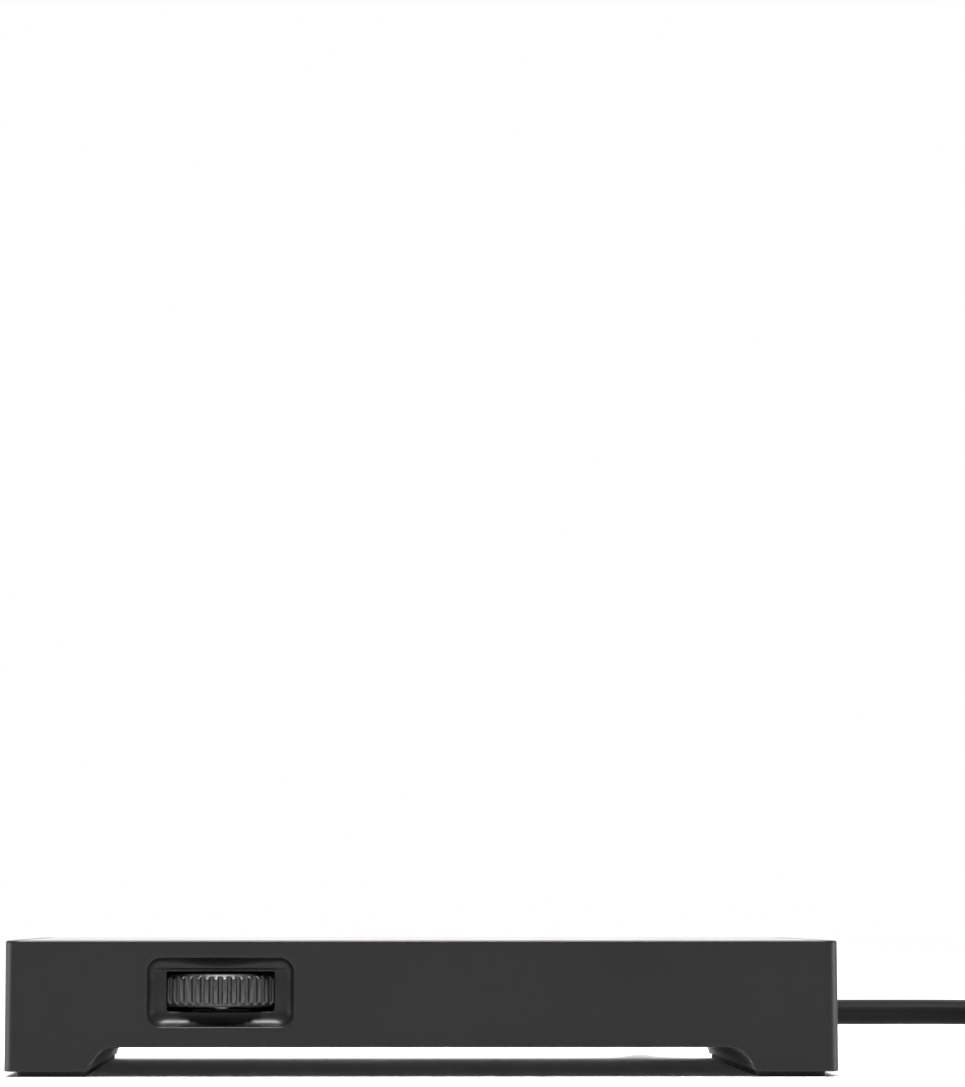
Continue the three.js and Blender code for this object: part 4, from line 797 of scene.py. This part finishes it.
def slot_rings(x, z, half_x, half_z, across, arc):
    """An opening in the rear wall: a small quarter round outside, then straight through the wall."""
    corner = min(half_x, half_z)
    turn = np.linspace(0, QUARTER, 4)
    rings = [(0.4, 0.0)] + [(o, d) for o, d in np.c_[0.25 * (1 - np.sin(turn)), 0.25 * (1 - np.cos(turn))]]
    rings += [(0.0, 0.45), (0.0, WALL)]
    placed = []
    for wider, depth in rings:
        flat = opening_outline(half_x + wider, half_z + wider, corner + wider - 1e-3, across, CELL_ROWS, arc)
        height = z + flat[:, 1]
        share = depth / WALL
        face = case_half(height) * (1 - share) + HALF * share
        placed.append(np.c_[x - flat[:, 0], face - depth, height])
    return placed


def case_shell():
    """The case as one closed skin, with the scoop, the vents and the cord's hole joined in ring by ring."""
    grid, rows_out, rows_in = case_rows()
    count, around = grid.shape[:2]
    number = np.arange(count * around).reshape(count, around)
    keep = np.ones((count, around), bool)
    points, faces = [grid.reshape(-1, 3)], []
    total = count * around

    def place_of(x, y):
        return int(np.argmin(np.abs(BASE[:, 0] - x) + np.abs(BASE[:, 1] - y)))

    openings = [(SCOOP_CELL, -FLAT, scoop_rings(24)),
                (CORD_CELL, FLAT, slot_rings(CORD_EXIT[0], CORD_EXIT[2], 4.8, 4.8, 12, 6))]
    for i in range(VENT_COUNT):
        cell = VENT_CELLS[6 * i: 6 * i + 7]
        openings.append((cell, FLAT, slot_rings(float(cell[3]), VENT_Z, 1.15, 4.6, 6, 3)))
    for cell, y, rings in openings:
        first = place_of(cell[0], y)
        last = first + len(cell) - 1
        bounds = []
        for rows in (rows_out, rows_in):
            low_row, high_row = min(rows), max(rows)
            keep[low_row:high_row, first:last] = False
            bounds.append(np.concatenate([
                number[rows[0], first:last], number[rows[:-1], last],
                number[rows[-1], first + 1: last + 1][::-1], number[rows[1:], first][::-1],
            ]))
        ring_count, ring_points = len(rings), len(rings[0])
        inner_numbers = total + np.arange(ring_count * ring_points).reshape(ring_count, ring_points)
        total += ring_count * ring_points
        points.append(np.vstack(rings))
        chain = np.vstack([bounds[0], inner_numbers, bounds[1]])
        low, high = chain[:-1], chain[1:]
        faces += np.stack([low, np.roll(low, -1, 1), np.roll(high, -1, 1), high], -1).reshape(-1, 4).tolist()
    above = np.vstack([number[1:], number[:1]])
    quads = np.stack([number, np.roll(number, -1, 1), np.roll(above, -1, 1), above], -1)
    faces += quads[keep].tolist()
    return np.vstack(points), faces


def base_posts():
    """Four hollow posts that take the base screws, each with a web to the wall."""
    shells = []
    for x in (-88.0, 88.0):
        for y in (-48.0, 48.0):
            profile = [(1.6, 2.7), (3.2, 2.7), (3.2, 24.5), (1.6, 24.5)]
            shells.append(turned(eased_loop(profile, 0.25), (x, y, 0), 32))
            rib_at = (math.copysign(91.2, x), y)
            shells.append(plate(1.9, 1.0, 0.1, eased_side(3.6, LEDGE_BOTTOM, 0.1, 0.1), rib_at, 2))
    return shells


def make_case():
    shell = together(case_shell(), *base_posts())
    return made("case_shell", shell, COAT, ["housing"], sharp=38)


def make_glass():
    """The glass top: a flat plate whose upper edge is ground to a small round."""
    half_x, half_y = (GLASS_HIGH[:2] - GLASS_LOW[:2]) / 2
    side = eased_side(float(GLASS_LOW[2]), float(GLASS_HIGH[2]), 0.25, 0.55, 5)
    return made("glass_top_plate", plate(half_x, half_y, 1.6, side), GLASS, ["glass_top"])


def make_foot(name):
    """A long rubber strip with soft edges."""
    low, high = extent(name)
    middle, half = (low + high) / 2, (high - low) / 2
    side = eased_side(float(low[2]), float(high[2]), 0.3, 0.3, 3, 0.15)
    return made(f"{name}_pad", plate(half[0], half[1], 1.2, side, middle[:2]), RUBBER, [name])


def make_wheel():
    """The thumbwheel: a dished profile turned about its axis, its rim rising and falling with each rib.

    A rib's height is 1 on its flat top and falls by three squares less two cubes to 0 in the groove; the
    radius is the profile's plus the rib height times the profile's rib share.
    """
    ribs, depth = 52, 0.75
    low, high = float(WHEEL_LOW[2]), float(WHEEL_HIGH[2])
    outer = float(WHEEL_HIGH[0] - WHEEL_LOW[0]) / 2 - depth
    hub, rim, dish = 5.3, 14.05, 2.4
    profile = np.array([
        [3.12, low, 0], [hub, low, 0], [hub, low + dish, 0], [rim, low + dish, 0], [rim, low, 0],
        [outer - 0.5, low, 0], [outer, low + 0.45, 0], [outer, low + 0.5, 0], [outer, low + 1.15, depth],
        [outer, high - 1.15, depth], [outer, high - 0.5, 0], [outer, high - 0.45, 0], [outer - 0.5, high, 0],
        [rim, high, 0], [rim, high - dish, 0], [hub, high - dish, 0], [hub, high, 0], [3.12, high, 0],
    ])
    profile = eased_loop(profile, 0.22, 3)
    phase = np.array([0.0, 0.1, 0.15, 0.2, 0.25, 0.3, 0.34, 0.42, 0.5, 0.58, 0.66, 0.7, 0.75, 0.8, 0.85, 0.9])
    turn = ((np.arange(ribs)[:, None] + phase) / ribs * 2 * math.pi).ravel()
    height = 1 - eased_step(np.abs(phase - 0.5), 0.16, 0.38)
    height = np.tile(height, ribs)
    radius = profile[:, 0, None] + profile[:, 2, None] * height
    rings = np.stack([WHEEL_X + radius * np.cos(turn), WHEEL_Y + radius * np.sin(turn),
                      np.broadcast_to(profile[:, 1, None], radius.shape)], -1)
    shell = stacked(rings, "joined")
    return made("heat_thumbwheel", shell, WHEEL, ["thumbwheel"], "wheel", 50)


def finish_frame_nodes():
    """Every CAD node that is still shown gets the finish of its own slot."""
    slots = {part["node"]: part["material_slot"] for part in frame["record"]["subparts"]}
    for name, node in frame["nodes"].items():
        finish = FINISHES[slots[name]]
        if not node.material_slots:
            node.data.materials.append(finish.material)
        for holder in node.material_slots:
            holder.material = finish.material


# ---------------------------------------------------------------- studio
def make_floor():
    """A level floor as a wide disc: rings whose radii grow by equal shares."""
    turn = np.linspace(0, 2 * math.pi, 96, endpoint=False)
    rings = [np.c_[r * np.cos(turn), r * np.sin(turn), np.zeros(96)] for r in np.geomspace(0.02, 6.5, 24)]
    points, faces = stacked(rings)
    mesh = bpy.data.meshes.new("floor")
    mesh.from_pydata(np.asarray(points).tolist(), [], faces[:-1])
    finish = Finish("pale_floor", specular_ior_level=0.3, emission_color=(1, 1, 1, 1),
                    emission_strength=0.014)
    grain = finish.noise(60, 3.0)
    finish.paint(base_color=finish.blend(grain, (0.83, 0.83, 0.83, 1), (0.87, 0.87, 0.87, 1)),
                 roughness=finish.step(grain, 0.3, 0.7, 0.55, 0.7))
    mesh.materials.append(finish.material)
    floor = bpy.data.objects.new("floor", mesh)
    bpy.context.scene.collection.objects.link(floor)


def hang_light(name, place, aim, size, power, colour=(1, 1, 1)):
    data = bpy.data.lights.new(name, "AREA")
    data.shape, data.size, data.size_y = "RECTANGLE", size[0], size[1]
    data.energy, data.color = power, colour
    lamp = bpy.data.objects.new(name, data)
    bpy.context.scene.collection.objects.link(lamp)
    lamp.location = place
    lamp.rotation_euler = (Vector(aim) - Vector(place)).to_track_quat("-Z", "Y").to_euler()


def light_studio():
    """Soft boxes overhead and behind, a low one on each side, and a pale surround that is dimmer in front."""
    bpy.context.scene.view_settings.view_transform = "Standard"
    hang_light("overhead", (-0.05, -0.5, 1.25), (-0.02, -0.09, 0), (0.35, 0.25), 36)
    hang_light("wide_overhead", (0, 0.5, 2.6), (0, 0.3, 0), (3.0, 3.0), 48)
    hang_light("far_overhead", (0, 5.0, 3.0), (0, 5.0, 0), (7.0, 6.0), 130)
    hang_light("left_strip", (-1.5, -0.1, 0.11), (0, -0.05, 0.02), (0.9, 0.2), 8)
    hang_light("right_strip", (1.5, -0.1, 0.11), (0, -0.05, 0.02), (0.9, 0.2), 8)
    hang_light("low_fill", (-0.1, -1.45, 0.2), (0, 0, 0.01), (1.2, 0.25), 0.6)
    world = bpy.data.worlds.new("surround")
    bpy.context.scene.world = world
    world.use_nodes = True
    nodes, links = world.node_tree.nodes, world.node_tree.links
    background = nodes["Background"]
    way = nodes.new("ShaderNodeTexCoord")
    parts = nodes.new("ShaderNodeSeparateXYZ")
    ramp = nodes.new("ShaderNodeMapRange")
    ramp.interpolation_type = "SMOOTHSTEP"
    for socket, value in zip(ramp.inputs[1:5], (-0.3, 0.4, 0.22, 1.0)):
        socket.default_value = value
    links.new(way.outputs["Generated"], parts.inputs[0])
    links.new(parts.outputs["Y"], ramp.inputs[0])
    links.new(ramp.outputs[0], background.inputs["Color"])


make_case()
make_glass()
make_foot("foot_strip_left")
make_foot("foot_strip_right")
make_wheel()
finish_frame_nodes()
make_floor()
light_studio()
